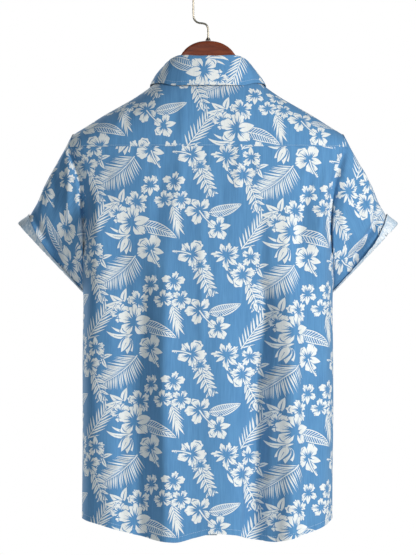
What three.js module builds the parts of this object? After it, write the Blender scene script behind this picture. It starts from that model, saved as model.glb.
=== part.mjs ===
// A short-sleeved hawaiian shirt hanging on a wooden hanger, in millimetres, +Z up.
// The origin is the inside top of the hook, where it sits on a rail. The front of
// the shirt faces -Y and its back faces +Y; the wearer's left is +X.
import * as THREE from 'three';

// ---------------------------------------------------------------- sizes
const CLOTH = 1.2;            // wall of one layer of cloth
const SEAM = 0.3;             // clear width of a seam between two pieces
const FULLNESS = 0.8;         // how square the body's section is (1 is an ellipse)
const YOKE_SEAM_Z = -275;     // height of the seam under the yoke, at the back
const CHEST_Z = -300;         // height where the fronts start to lean over the shoulder
const UNDERARM_Z = -455;      // lowest point of the armholes
const NECK_HALF = 70;         // half the width of the neck opening
const NECK_BACK = 48;         // the neck opening behind the hanger's plane
const NECK_FRONT = 68;        // and in front of it
const YOKE_NECK_ANGLE = 122;  // where the front yoke seam meets the neckline, degrees from the centre back
const YOKE_ARM_RISE = 25;     // how far above CHEST_Z it meets the armhole, degrees over the shoulder
const OVERLAP = 15;           // each front runs this far past the centre
const UNDERLAP = 2.2;         // the right front lies this far behind the left one
const CUFF_WIDTH = 25;        // turn-up at the top of the sleeve
const CUFF_WIDTH_UNDER = 9;   // turn-up at the underarm
const ROLL = 2.6;             // radius of the collar's roll
const BUTTON_D = 11.5;
const BUTTON_T = 2.4;
const WIRE_D = 3.2;           // hook wire
const HOOK_R = 24.4;          // centreline radius of the hook
const WOOD_TOP_Z = -98.7;     // top of the hanger's neck

// Body sections: half is the half width that the section would have without the
// armholes, back and front its depths at the centre, arm the part of a quarter
// turn, in degrees, that each armhole takes from the side.
const BODY = [
  { z: -275, half: 235.0, back: 84.0, front: 84.0, arm: 14.5 },
  { z: -290, half: 236.0, back: 86.4, front: 86.8, arm: 20.5 },
  { z: -310, half: 237.0, back: 89.6, front: 90.5, arm: 25.5 },
  { z: -340, half: 236.0, back: 94.4, front: 96.0, arm: 29.5 },
  { z: -370, half: 232.5, back: 99.0, front: 101.0, arm: 30.0 },
  { z: -400, half: 226.0, back: 103.0, front: 105.0, arm: 27.5 },
  { z: -425, half: 218.0, back: 105.6, front: 107.0, arm: 22.5 },
  { z: -440, half: 212.8, back: 106.8, front: 107.6, arm: 16.5 },
  { z: -450, half: 209.6, back: 107.4, front: 107.9, arm: 10.0 },
  { z: -455, half: 208.2, back: 107.7, front: 108.0, arm: 0.0 },
  { z: -480, half: 205.2, back: 108.0, front: 107.6, arm: 0.0 },
  { z: -515, half: 204.7, back: 108.0, front: 106.5, arm: 0.0 },
  { z: -600, half: 205.2, back: 107.5, front: 104.0, arm: 0.0 },
  { z: -750, half: 205.0, back: 105.5, front: 100.0, arm: 0.0 },
  { z: -930, half: 204.4, back: 103.0, front: 98.0, arm: 0.0 },
];
// Shoulder line: its height over each distance from the centre. Inside the neck
// opening it only shapes the surface that the neckline is cut from.
const RIDGE = [
  { x: 0, z: -139 }, { x: 35, z: -144 }, { x: 72, z: -157.5 }, { x: 95, z: -175.5 },
  { x: 120, z: -193 }, { x: 145, z: -207.5 }, { x: 170, z: -221.5 }, { x: 200, z: -240.5 },
  { x: 222, z: -254 }, { x: 232, z: -261 }, { x: 240, z: -266 },
];
// Curved hem: its height over each place across the back and across the front.
const HEM_BACK = [
  { x: -206, z: -887 }, { x: -190, z: -897 }, { x: -165, z: -909 }, { x: -132, z: -920 },
  { x: -108, z: -924 }, { x: -80, z: -921 }, { x: -45, z: -913 }, { x: -10, z: -910.5 },
  { x: 22, z: -917 }, { x: 54, z: -924.5 }, { x: 78, z: -922.5 }, { x: 110, z: -915 },
  { x: 150, z: -905 }, { x: 185, z: -894 }, { x: 206, z: -887 },
];
const HEM_FRONT = [
  { x: -206, z: -887 }, { x: -185, z: -896 }, { x: -150, z: -907 }, { x: -100, z: -917 },
  { x: -50, z: -921 }, { x: 0, z: -922 }, { x: 50, z: -921 }, { x: 100, z: -917 },
  { x: 150, z: -907 }, { x: 185, z: -896 }, { x: 206, z: -887 },
];
// Largest folds, one row each: x where it meets the hem, lean how far it moves
// towards +X for each millimetre upwards, wide its half width, out how far it
// stands out (below 0 is a trough), top where it has died away, full where it is
// at its deepest.
const FOLDS_BACK = [
  { x: 62, lean: 0.02, wide: 28, out: 12, top: -330, full: -700 },
  { x: 114, lean: 0.02, wide: 26, out: -12, top: -350, full: -720 },
  { x: -78, lean: 0.03, wide: 26, out: -14, top: -320, full: -660 },
  { x: -132, lean: 0.02, wide: 24, out: 13, top: -300, full: -640 },
];
const FOLDS_FRONT = [
  { x: -74, lean: -0.04, wide: 30, out: 9, top: -380, full: -780 },
  { x: -138, lean: -0.03, wide: 28, out: -9, top: -360, full: -740 },
  { x: 66, lean: 0.04, wide: 32, out: 8, top: -360, full: -800 },
  { x: 134, lean: 0.03, wide: 30, out: -10, top: -350, full: -720 },
];
// Sleeve: how far its top line dips below the straight from armhole to fold
const SLEEVE_TOP = [
  { v: 0, dip: 0 }, { v: 0.15, dip: 2.5 }, { v: 0.4, dip: 3.4 }, { v: 0.55, dip: 4.5 },
  { v: 0.76, dip: 9 }, { v: 0.87, dip: 9 }, { v: 0.94, dip: 5 }, { v: 1, dip: 0 },
];
// Fold of the turn-up: its outer end, its end at the underarm, which lies in front
// of the body's side, and its half depth front to back.
const CUFF = { outX: 313.5, outY: -12, outZ: -401.5, inX: 202.5, inY: -44, inZ: -520, halfDepth: 42 };
// Collar from the centre back (0) to the centre front (180): stand is the height
// of its roll over the neckline, lean how far the roll stands outwards; the edge
// of its fall is at x, z, and at y behind the shoulder, on the fronts before it.
const COLLAR = [
  { angle: 0, stand: 41.5, lean: 0, x: 0, y: 63, z: -174 },
  { angle: 20, stand: 41, lean: 0, x: 32, y: 60, z: -174 },
  { angle: 40, stand: 38, lean: -0.5, x: 60, y: 49.5, z: -174.5 },
  { angle: 55, stand: 31, lean: -1, x: 77, y: 37, z: -174 },
  { angle: 72, stand: 21, lean: -1, x: 90, y: 18, z: -173 },
  { angle: 90, stand: 14.5, lean: -0.5, x: 95, y: 0, z: -174 },
  { angle: 110, stand: 11.5, lean: 0, x: 97, y: -34, z: -190 },
  { angle: 130, stand: 10, lean: 0, x: 91, y: -60, z: -213 },
  { angle: 150, stand: 9.5, lean: 0, x: 78, y: -75, z: -236 },
  { angle: 165, stand: 9.5, lean: 0, x: 63, y: -82, z: -251 },
  { angle: 178.6, stand: 9.5, lean: 0, x: 46, y: -86, z: -264 },
];
// The hanger's sections from its middle to the end of an arm: its upper and lower
// edge and its thickness front to back
const WOOD_PARTS = [
  { x: 0, top: -98.7, low: -174, thick: 13 }, { x: 12, top: -99.8, low: -174.8, thick: 13 },
  { x: 22, top: -102.6, low: -176.5, thick: 13 }, { x: 31, top: -107.2, low: -179.5, thick: 13 },
  { x: 38, top: -113, low: -182.8, thick: 13 }, { x: 44, top: -120.5, low: -186.2, thick: 13 },
  { x: 49, top: -129, low: -189.2, thick: 13 }, { x: 56, top: -143, low: -193.6, thick: 13 },
  { x: 62, top: -155, low: -197.5, thick: 13 }, { x: 70, top: -164.5, low: -202.6, thick: 13 },
  { x: 82, top: -173, low: -210.6, thick: 13 }, { x: 100, top: -184.5, low: -222, thick: 12.8 },
  { x: 125, top: -199.8, low: -235.5, thick: 12.5 }, { x: 150, top: -214, low: -247.5, thick: 12 },
  { x: 175, top: -229, low: -259.5, thick: 11.5 }, { x: 195, top: -241.8, low: -267.5, thick: 11 },
  { x: 206, top: -250.5, low: -268.5, thick: 9.5 }, { x: 211, top: -256, low: -265.5, thick: 6 },
];
const BUTTON_Z = [-222, -310, -398, -486, -574, -662, -750];

// ---------------------------------------------------------------- numbers
const rad = Math.PI / 180;
const V = (x, y, z) => new THREE.Vector3(x, y, z);
const mix = (a, b, t) => a + (b - a) * t;
const clamp = (x, lo, hi) => Math.min(hi, Math.max(lo, x));
const smooth = (t) => { t = clamp(t, 0, 1); return t * t * (3 - 2 * t); };

// Reads one column of a table at a place between its rows, on a smooth curve
// that never overshoots them.
function read(rows, by, x, column) {
  const s = rows[0][by] < rows[rows.length - 1][by] ? 1 : -1;
  const xs = rows.map((r) => s * r[by]), ys = rows.map((r) => r[column]);
  const q = clamp(s * x, xs[0], xs[xs.length - 1]);
  let k = 0;
  while (k < xs.length - 2 && q > xs[k + 1]) k++;
  const slope = (i) => (ys[i + 1] - ys[i]) / (xs[i + 1] - xs[i]);
  const knot = (i) => {
    if (i === 0) return slope(0);
    if (i === xs.length - 1) return slope(i - 1);
    const a = slope(i - 1), b = slope(i);
    return a * b <= 0 ? 0 : (2 * a * b) / (a + b);
  };
  const h = xs[k + 1] - xs[k], t = (q - xs[k]) / h;
  return ys[k] * (1 + 2 * t) * (1 - t) ** 2 + knot(k) * h * t * (1 - t) ** 2
    + ys[k + 1] * t * t * (3 - 2 * t) + knot(k + 1) * h * t * t * (t - 1);
}

// ---------------------------------------------------------------- the form
const FACES = {
  back: { sign: 1, depth: 'back', folds: FOLDS_BACK, hem: HEM_BACK },
  front: { sign: -1, depth: 'front', folds: FOLDS_FRONT, hem: HEM_FRONT },
};
// How far the folds move the cloth out at one place
function foldAt(face, x, z) {
  let out = 0;
  for (const f of face.folds) {
    const s = (x - f.x - f.lean * (z + 900)) / f.wide;
    out += f.out * Math.exp(-s * s) * smooth((f.top - z) / (f.top - f.full));
  }
  return out;
}
// A point of the body: turn is 0 at the centre and 90 degrees at the side
function bodyPoint(name, turn, z, inward = 0) {
  const face = FACES[name];
  const half = read(BODY, 'z', z, 'half'), deep = read(BODY, 'z', z, face.depth);
  const c = Math.max(Math.cos(turn), 1e-5), s = Math.sin(turn);
  const x = half * s, y = deep * c ** FULLNESS;
  const nx = deep * FULLNESS * c ** (FULLNESS - 1) * s, ny = half * c;
  const n = Math.hypot(nx, ny), out = foldAt(face, x, z) * Math.min(1, 2.2 * c) - inward;
  return V(x + (nx / n) * out, face.sign * (y + (ny / n) * out), z);
}
// Where the side of a piece is at a height: the side seam or the armhole
const sideTurn = (z) => (z < UNDERARM_Z ? 90 : 90 - read(BODY, 'z', z, 'arm')) * rad;
// A point of the shoulder: over is 0 at the yoke seam behind, 90 on the shoulder
// line and 180 at CHEST_Z in front
function shoulderPoint(x, over, inward = 0) {
  const behind = over <= 90, z0 = behind ? YOKE_SEAM_Z : CHEST_Z;
  const half = read(BODY, 'z', z0, 'half'), deep = read(BODY, 'z', z0, behind ? 'back' : 'front');
  const turn = Math.asin(clamp(x / half, -1, 1));
  const y = deep * Math.max(Math.cos(turn), 1e-5) ** FULLNESS - inward, ridge = read(RIDGE, 'x', Math.abs(x), 'z') - inward;
  return V(x, y * Math.cos(over * rad), z0 + (ridge - z0) * Math.sin(over * rad));
}
// The turn over the shoulder at which a point lies that is y from the hanger's plane
function overAt(x, y) {
  const z0 = y >= 0 ? YOKE_SEAM_Z : CHEST_Z, column = y >= 0 ? 'back' : 'front';
  const half = read(BODY, 'z', z0, 'half'), deep = read(BODY, 'z', z0, column);
  const reach = deep * Math.cos(Math.asin(clamp(x / half, -1, 1))) ** FULLNESS;
  return Math.acos(clamp(y / reach, -1, 1)) / rad;
}
// The neckline at an angle from the centre back, + towards +X
function neckPlan(angle) {
  const x = NECK_HALF * Math.sin(angle * rad), c = Math.cos(angle * rad);
  return { x, y: c * (c >= 0 ? NECK_BACK : NECK_FRONT) };
}
function neckPoint(angle, inward = 0) {
  const { x, y } = neckPlan(angle);
  return shoulderPoint(x, overAt(x, y), inward);
}

// ---------------------------------------------------------------- walls
// A piece of cloth is a grid of points, rows of columns, with a normal at each.
class Piece {
  constructor(points, round = false) {
    this.p = points; this.round = round;
    this.rows = points.length; this.cols = points[0].length;
    this.setNormals();
  }
  setNormals() {
    const { p, rows, cols, round } = this;
    this.n = p.map((row, j) => row.map((_, i) => {
      const i0 = round ? (i + cols - 1) % cols : Math.max(i - 1, 0);
      const i1 = round ? (i + 1) % cols : Math.min(i + 1, cols - 1);
      const along = p[j][i1].clone().sub(p[j][i0]);
      const up = p[Math.min(j + 1, rows - 1)][i].clone().sub(p[Math.max(j - 1, 0)][i]);
      return along.cross(up).normalize();
    }));
  }
  // Turns every normal over, where rows and columns run the other way
  flip() { this.n.forEach((row) => row.forEach((n) => n.negate())); this.turned = !this.turned; return this; }
  // One edge as a list of [row, column]
  edge(which) {
    const out = [];
    if (which === 'first' || which === 'last') {
      const j = which === 'first' ? 0 : this.rows - 1;
      for (let i = 0; i < this.cols; i++) out.push([j, i]);
    } else {
      const i = which === 'left' ? 0 : this.cols - 1;
      for (let j = 0; j < this.rows; j++) out.push([j, i]);
    }
    return out;
  }
  // A closed solid, half the wall on each side of the points
  mesh(name, look) {
    const { p, n, rows, cols, round, turned } = this;
    const at = [], index = [];
    for (const side of [1, -1]) {
      for (let j = 0; j < rows; j++) {
        for (let i = 0; i < cols; i++) {
          const q = p[j][i].clone().addScaledVector(n[j][i], (side * CLOTH) / 2);
          at.push(q.x, q.y, q.z);
        }
      }
    }
    const id = (s, j, i) => s * rows * cols + j * cols + (i % cols);
    const quad = (a, b, c, d) => (turned ? index.push(a, c, b, a, d, c) : index.push(a, b, c, a, c, d));
    const last = round ? cols : cols - 1;
    for (let j = 0; j < rows - 1; j++) {
      for (let i = 0; i < last; i++) {
        quad(id(0, j, i), id(0, j, i + 1), id(0, j + 1, i + 1), id(0, j + 1, i));
        quad(id(1, j, i), id(1, j + 1, i), id(1, j + 1, i + 1), id(1, j, i + 1));
      }
    }
    for (let i = 0; i < last; i++) {
      quad(id(0, 0, i), id(1, 0, i), id(1, 0, i + 1), id(0, 0, i + 1));
      quad(id(0, rows - 1, i), id(0, rows - 1, i + 1), id(1, rows - 1, i + 1), id(1, rows - 1, i));
    }
    if (!round) {
      for (let j = 0; j < rows - 1; j++) {
        quad(id(0, j, 0), id(0, j + 1, 0), id(1, j + 1, 0), id(1, j, 0));
        quad(id(0, j, cols - 1), id(1, j, cols - 1), id(1, j + 1, cols - 1), id(0, j + 1, cols - 1));
      }
    }
    const g = new THREE.BufferGeometry();
    g.setAttribute('position', new THREE.Float32BufferAttribute(at, 3));
    g.setIndex(index);
    g.computeVertexNormals();
    const m = new THREE.Mesh(g, look);
    m.name = name;
    return m;
  }
}
// Two edges meet in a seam: they share their normals, so both walls end on the
// same plane, and each draws back by half of the seam.
function sew(a, edgeA, b, edgeB) {
  edgeA.forEach(([ja, ia], k) => {
    const [jb, ib] = edgeB[k];
    const na = a.n[ja][ia], nb = b.n[jb][ib];
    const sum = na.clone().add(nb);
    if (sum.length() < 0.3) sum.copy(na).sub(nb);
    sum.normalize();
    na.copy(sum); nb.copy(sum);
  });
}
function drawBack(piece, edge, which, by = SEAM / 2) {
  for (const [j, i] of edge) {
    const inner = which === 'first' ? piece.p[j + 1][i] : which === 'last' ? piece.p[j - 1][i]
      : which === 'left' ? piece.p[j][i + 1] : piece.p[j][i - 1];
    const d = inner.clone().sub(piece.p[j][i]);
    piece.p[j][i].addScaledVector(d.normalize(), by);
  }
}

// ---------------------------------------------------------------- looks
const cloth = (color) => new THREE.MeshStandardMaterial({ color, roughness: 0.85, metalness: 0 });
const PRINT = cloth(0x4b87be), WRONG = cloth(0xb9c9d6), COLLAR_LOOK = cloth(0x4f8cc4);
const SHELL = new THREE.MeshStandardMaterial({ color: 0xf0efe9, roughness: 0.35, metalness: 0 });
const WOOD = new THREE.MeshStandardMaterial({ color: 0x7a3a22, roughness: 0.3, metalness: 0 });
const STEEL = new THREE.MeshStandardMaterial({ color: 0xb9aea0, roughness: 0.25, metalness: 1 });
const FERRULE = new THREE.MeshStandardMaterial({ color: 0x5b5148, roughness: 0.35, metalness: 1 });

// ---------------------------------------------------------------- back
const ARM_ROWS = [-455, -450, -440, -425, -405, -380, -350, -320, -300];
const LOW_ROWS = [-862, -822, -778, -732, -684, -636, -588, -545, -512, -482];
const HALF_COLS = 12;         // columns of the back and yoke on each side of the centre
const NECK_COLS = 5;          // of them along the neckline

// The turns from the centre to the side of a section, evenly spaced along its
// whole arc; where an armhole cuts the section, the outer half of them draws in.
function evenTurns(name, z, count, side = 1) {
  const steps = 120, at = [0], quarter = 90 * rad;
  let last = bodyPoint(name, 0, z);
  for (let k = 1; k <= steps; k++) {
    const p = bodyPoint(name, (side * quarter * k) / steps, z);
    at.push(at[k - 1] + Math.hypot(p.x - last.x, p.y - last.y));
    last = p;
  }
  const turns = [];
  for (let c = 0; c <= count; c++) {
    const want = (at[steps] * c) / count;
    let k = 0;
    while (k < steps - 1 && at[k + 1] < want) k++;
    turns.push((quarter * (k + (want - at[k]) / (at[k + 1] - at[k]))) / steps);
  }
  const half = Math.floor(count / 2), start = turns[half], end = sideTurn(z);
  return turns.map((turn, c) => side * (c <= half ? turn : start + ((turn - start) * (end - start)) / (quarter - start)));
}
// All the turns of a section of the back, from one side to the other
function backTurnsAt(z) {
  const left = evenTurns('back', z, HALF_COLS), right = evenTurns('back', z, HALF_COLS, -1);
  return [...right.slice(1).reverse(), ...left];
}
function backPiece() {
  const rows = [];
  const level = backTurnsAt;
  // The two rows at the hem follow its curve
  for (const part of [0, 0.5]) {
    rows.push(level(-887).map((turn) => {
      const hem = read(HEM_BACK, 'x', bodyPoint('back', turn, -887).x, 'z');
      return bodyPoint('back', turn, mix(hem, LOW_ROWS[0], part));
    }));
  }
  for (const z of [...LOW_ROWS, ...ARM_ROWS, YOKE_SEAM_Z]) rows.push(level(z).map((turn) => bodyPoint('back', turn, z)));
  return new Piece(rows);
}
const back = backPiece().flip();
const backTurns = backTurnsAt(YOKE_SEAM_Z);
const yokeHalf = read(BODY, 'z', YOKE_SEAM_Z, 'half');

// ---------------------------------------------------------------- yoke
// Its upper edge: round the neckline, then along the seam in front of the shoulder
const armX = read(BODY, 'z', CHEST_Z, 'half') * Math.sin(sideTurn(CHEST_Z));
function yokeTop(k) {
  const side = Math.sign(k), c = Math.abs(k);
  if (c <= NECK_COLS) {
    const { x, y } = neckPlan((YOKE_NECK_ANGLE * c) / NECK_COLS);
    return { x: side * x, over: overAt(x, y) };
  }
  const neck = neckPlan(YOKE_NECK_ANGLE), t = (c - NECK_COLS) / (HALF_COLS - NECK_COLS);
  const x = mix(neck.x, armX, t);
  return { x: side * x, over: mix(overAt(neck.x, neck.y), 180 - YOKE_ARM_RISE, t ** 1.6) };
}
const YOKE_ROWS = 8;
function yokePiece() {
  const rows = [];
  for (let j = 0; j <= YOKE_ROWS; j++) {
    rows.push(backTurns.map((turn, i) => {
      const k = i - HALF_COLS, top = yokeTop(k), t = j / YOKE_ROWS;
      const x = mix(yokeHalf * Math.sin(turn), top.x, t) + Math.sign(k) * 3 * (Math.abs(k) / HALF_COLS) ** 6 * Math.sin(Math.PI * t);
      return shoulderPoint(x, top.over * t);
    }));
  }
  return new Piece(rows).flip();
}
const yoke = yokePiece();

// ---------------------------------------------------------------- fronts
// side is 1 for the wearer's left (+X). Columns run from the side to the centre
// and on by the overlap.
const CENTRE_COL = 11, SHOULDER_ROWS = 4;
function frontPiece(side) {
  const under = (c) => (side < 0 ? UNDERLAP * smooth((c - 8.6) / 2) : 0);
  const level = (z) => {
    const turns = evenTurns('front', z, CENTRE_COL, side).reverse();
    turns.push(-side * Math.asin(OVERLAP / read(BODY, 'z', z, 'half')));
    return turns;
  };
  const rows = [];
  for (const part of [0, 0.5]) {
    rows.push(level(-887).map((turn, c) => {
      const hem = read(HEM_FRONT, 'x', bodyPoint('front', turn, -887).x, 'z') + (side < 0 ? 3 * smooth((c - 8.6) / 2) : 0);
      return bodyPoint('front', turn, mix(hem, LOW_ROWS[0], part), under(c));
    }));
  }
  for (const z of [...LOW_ROWS, ...ARM_ROWS]) rows.push(level(z).map((turn, c) => bodyPoint('front', turn, z, under(c))));
  const chest = level(CHEST_Z), half = read(BODY, 'z', CHEST_Z, 'half');
  for (let j = 1; j <= SHOULDER_ROWS; j++) {
    rows.push(chest.map((turn, c) => {
      const t = j / SHOULDER_ROWS;
      let top;
      const seams = HALF_COLS - NECK_COLS;
      if (c <= seams) {
        top = yokeTop(HALF_COLS - c);
      } else {
        const angle = YOKE_NECK_ANGLE + ((180 - YOKE_NECK_ANGLE) * (c - seams)) / (CENTRE_COL - seams);
        const { x, y } = neckPlan(angle);
        top = { x, over: overAt(x, y) };
      }
      const x = mix(half * Math.sin(turn), side * top.x, t);
      return shoulderPoint(x, mix(180, top.over, t), under(c));
    }));
  }
  const piece = new Piece(rows);
  return side > 0 ? piece.flip() : piece;
}
const frontLeft = frontPiece(1), frontRight = frontPiece(-1);

// ---------------------------------------------------------------- sleeves
// The armhole, from the underarm up behind, over the shoulder and down in front:
// each entry is [piece, row, column]
const ARM_FROM = 2 + LOW_ROWS.length, ARM_TO = ARM_FROM + ARM_ROWS.length;
function armhole(side) {
  const ring = [], backCol = side > 0 ? back.cols - 1 : 0, front = side > 0 ? frontLeft : frontRight;
  for (let j = ARM_FROM; j <= ARM_TO; j++) ring.push([back, j, backCol]);
  for (let j = 1; j < yoke.rows; j++) ring.push([yoke, j, backCol]);
  for (let j = front.rows - 2; j > ARM_FROM; j--) ring.push([front, j, 0]);
  return ring;
}
// Lengths round a closed ring of points, as parts of the whole
function parts(ring) {
  const at = [0];
  for (let k = 1; k <= ring.length; k++) at.push(at[k - 1] + ring[k % ring.length].distanceTo(ring[k - 1]));
  return at.map((a) => a / at[at.length - 1]);
}
const SLEEVE_STEPS = [0, 0.08, 0.2, 0.36, 0.54, 0.7, 0.8, 0.9, 1];
function cuffPoint(side, turn) {
  // turn is 0 at the underarm end and half a turn at the outer end, by the back
  const a = V(CUFF.inX, CUFF.inY, CUFF.inZ), b = V(CUFF.outX, CUFF.outY, CUFF.outZ);
  const mid = a.clone().add(b).multiplyScalar(0.5), half = a.clone().sub(b).multiplyScalar(0.5);
  const q = mid.addScaledVector(half, Math.cos(turn));
  return V(side * q.x, q.y + CUFF.halfDepth * Math.sin(turn), q.z);
}
function sleevePoints(side) {
  const ring = armhole(side).map(([piece, j, i]) => piece.p[j][i].clone());
  const want = parts(ring);
  const many = Array.from({ length: 241 }, (_, k) => cuffPoint(side, (k / 240) * 2 * Math.PI));
  const have = parts(many.slice(0, 240));
  const rows = SLEEVE_STEPS.map((v) => ring.map((start, k) => {
    let m = 0;
    while (m < 239 && have[m + 1] < want[k]) m++;
    const turn = ((m + (want[k] - have[m]) / (have[m + 1] - have[m])) / 240) * 2 * Math.PI;
    const end = cuffPoint(side, turn);
    const p = start.clone().lerp(end, v);
    // the top line dips, the underside and the flanks fill out
    const top = Math.max(0, -Math.cos(turn)) ** 1.5, under = Math.max(0, Math.cos(turn)) ** 2, flank = Math.abs(Math.sin(turn));
    const dip = read(SLEEVE_TOP, 'v', v, 'dip') * top;
    p.x -= side * dip * 0.88; p.z -= dip * 0.47;
    const fill = Math.sin(Math.PI * v ** 0.7);
    p.x += side * (4 * under * fill + 6 * flank * fill);
    p.z -= 2 * under * fill;
    p.y += Math.sign(Math.sin(turn)) * 5 * flank * fill;
    return p;
  }));
  return rows;
}
function sleevePiece(side) {
  const piece = new Piece(sleevePoints(side), true);
  return side > 0 ? piece : piece.flip();
}
const sleeveLeft = sleevePiece(1), sleeveRight = sleevePiece(-1);

// ---------------------------------------------------------------- cuffs
// The end of the sleeve turned up over itself, wider at the top than underneath
const CUFF_STEPS = 3;
function cuffPiece(side, sleeve) {
  const last = sleeve.rows - 1, rows = [];
  for (let s = 0; s <= CUFF_STEPS; s++) {
    const row = [];
    for (let i = 0; i < sleeve.cols; i++) {
      const share = Math.abs((i / sleeve.cols) * 2 - 1);     // 1 underneath, 0 at the top
      const wide = mix(CUFF_WIDTH, CUFF_WIDTH_UNDER, smooth(share * 1.1 - 0.1));
      // walk back up the sleeve by this much
      let left = (wide * s) / CUFF_STEPS, j = last;
      while (j > 1 && left > sleeve.p[j][i].distanceTo(sleeve.p[j - 1][i])) {
        left -= sleeve.p[j][i].distanceTo(sleeve.p[j - 1][i]); j--;
      }
      const t = clamp(left / sleeve.p[j][i].distanceTo(sleeve.p[j - 1][i]), 0, 1);
      const q = sleeve.p[j][i].clone().lerp(sleeve.p[j - 1][i], t);
      const n = sleeve.n[j][i].clone().lerp(sleeve.n[j - 1][i], t).normalize();
      const lift = 1.9 + (s / CUFF_STEPS) * mix(3.4, 0, smooth(share * 1.3 - 0.2));
      row.push(q.addScaledVector(n, lift));
    }
    rows.push(row);
  }
  const piece = new Piece(rows, true);
  return side > 0 ? piece.flip() : piece;
}
const cuffLeft = cuffPiece(1, sleeveLeft), cuffRight = cuffPiece(-1, sleeveRight);

// ---------------------------------------------------------------- collar
const COLLAR_COLS = 28;
function collarPiece() {
  const rows = Array.from({ length: 10 }, () => []);
  const end = COLLAR[COLLAR.length - 1].angle;
  for (let k = 0; k <= COLLAR_COLS; k++) {
    const angle = mix(-end, end, k / COLLAR_COLS), side = Math.sign(angle) || 1, a = Math.abs(angle);
    const base = neckPoint(a);
    const c = Math.cos(a * rad), deep = c >= 0 ? NECK_BACK : NECK_FRONT;
    const out = V(Math.sin(a * rad) / NECK_HALF, c / deep, 0).normalize();
    const stand = read(COLLAR, 'angle', a, 'stand'), lean = read(COLLAR, 'angle', a, 'lean');
    const top = base.clone().addScaledVector(out, lean).add(V(0, 0, stand - ROLL));
    const x = read(COLLAR, 'angle', a, 'x');
    let y = read(COLLAR, 'angle', a, 'y'), z = read(COLLAR, 'angle', a, 'z');
    if (a <= 90) {
      z = Math.max(z, shoulderPoint(x, overAt(x, y), -4).z);
    } else {
      const ridge = read(RIDGE, 'x', x, 'z');
      const on = shoulderPoint(x, 180 - Math.asin(clamp((z - CHEST_Z) / (ridge - CHEST_Z), 0, 1)) / rad, -4);
      y = on.y; z = on.z;
    }
    const edge = V(x, y, z), start = top.clone().addScaledVector(out, 2 * ROLL);
    const points = [base.clone().add(V(0, 0, 1.3))];
    for (const t of [0.35, 0.7]) points.push(base.clone().lerp(top, t));
    points.push(top.clone(), top.clone().addScaledVector(out, ROLL).add(V(0, 0, ROLL)), start.clone());
    for (const t of [0.25, 0.5, 0.75, 1]) {
      points.push(start.clone().lerp(edge, t).addScaledVector(out, 2.2 * Math.sin(Math.PI * t)).add(V(0, 0, 1.2 * Math.sin(Math.PI * t))));
    }
    points.forEach((q, j) => rows[j].push(V(side * q.x, q.y, q.z)));
  }
  return new Piece(rows);
}
const collar = collarPiece();

// ---------------------------------------------------------------- seams
function sewAll() {
  sew(back, back.edge('last'), yoke, yoke.edge('first'));
  for (const side of [1, -1]) {
    const front = side > 0 ? frontLeft : frontRight, sleeve = side > 0 ? sleeveLeft : sleeveRight;
    const low = back.edge(side > 0 ? 'right' : 'left').slice(0, ARM_FROM + 1);
    sew(back, low, front, front.edge('left').slice(0, ARM_FROM + 1));
    const top = front.edge('last').slice(0, HALF_COLS - NECK_COLS + 1);
    sew(front, top, yoke, top.map(([, c]) => [yoke.rows - 1, side > 0 ? yoke.cols - 1 - c : c]));
    armhole(side).forEach(([piece, j, i], k) => sew(piece, [[j, i]], sleeve, [[0, k]]));
    front.n[ARM_FROM][0].copy(sleeve.n[0][0]);
  }
  drawBack(back, back.edge('last'), 'last');
  drawBack(yoke, yoke.edge('first'), 'first');
  drawBack(yoke, yoke.edge('last'), 'last');
  for (const e of ['left', 'right']) { drawBack(back, back.edge(e), e); drawBack(yoke, yoke.edge(e), e); }
  for (const [front, sleeve] of [[frontLeft, sleeveLeft], [frontRight, sleeveRight]]) {
    drawBack(front, front.edge('left'), 'left');
    drawBack(front, front.edge('last'), 'last');
    drawBack(sleeve, sleeve.edge('first'), 'first', 1.2);
  }
}
sewAll();

// ---------------------------------------------------------------- buttons
function button(k) {
  const z = BUTTON_Z[k], r = BUTTON_D / 2;
  const profile = [[0, 0], [r - 0.5, 0], [r, 0.6], [r - 0.3, BUTTON_T], [r - 1.3, BUTTON_T], [r - 1.9, BUTTON_T - 0.6],
    [0, BUTTON_T - 0.6]].map(([x, y]) => new THREE.Vector2(x, y));
  const g = new THREE.LatheGeometry(profile, 16);
  const m = new THREE.Mesh(g, SHELL);
  const over = z > CHEST_Z ? Math.asin((z - CHEST_Z) / (read(RIDGE, 'x', 0, 'z') - CHEST_Z)) : 0;
  const at = z > CHEST_Z ? shoulderPoint(0, 180 - over / rad) : bodyPoint('front', 0, z);
  const up = z > CHEST_Z ? shoulderPoint(0, 180 - over / rad - 1) : bodyPoint('front', 0, z + 2);
  const n = up.sub(at).normalize();          // along the cloth, upwards
  const out = V(0, -n.z, n.y).normalize();   // away from it
  m.name = `button_${k + 1}`;
  m.position.copy(at.addScaledVector(out, CLOTH / 2 + 0.35));
  m.quaternion.setFromUnitVectors(V(0, 1, 0), out);
  return m;
}

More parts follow.
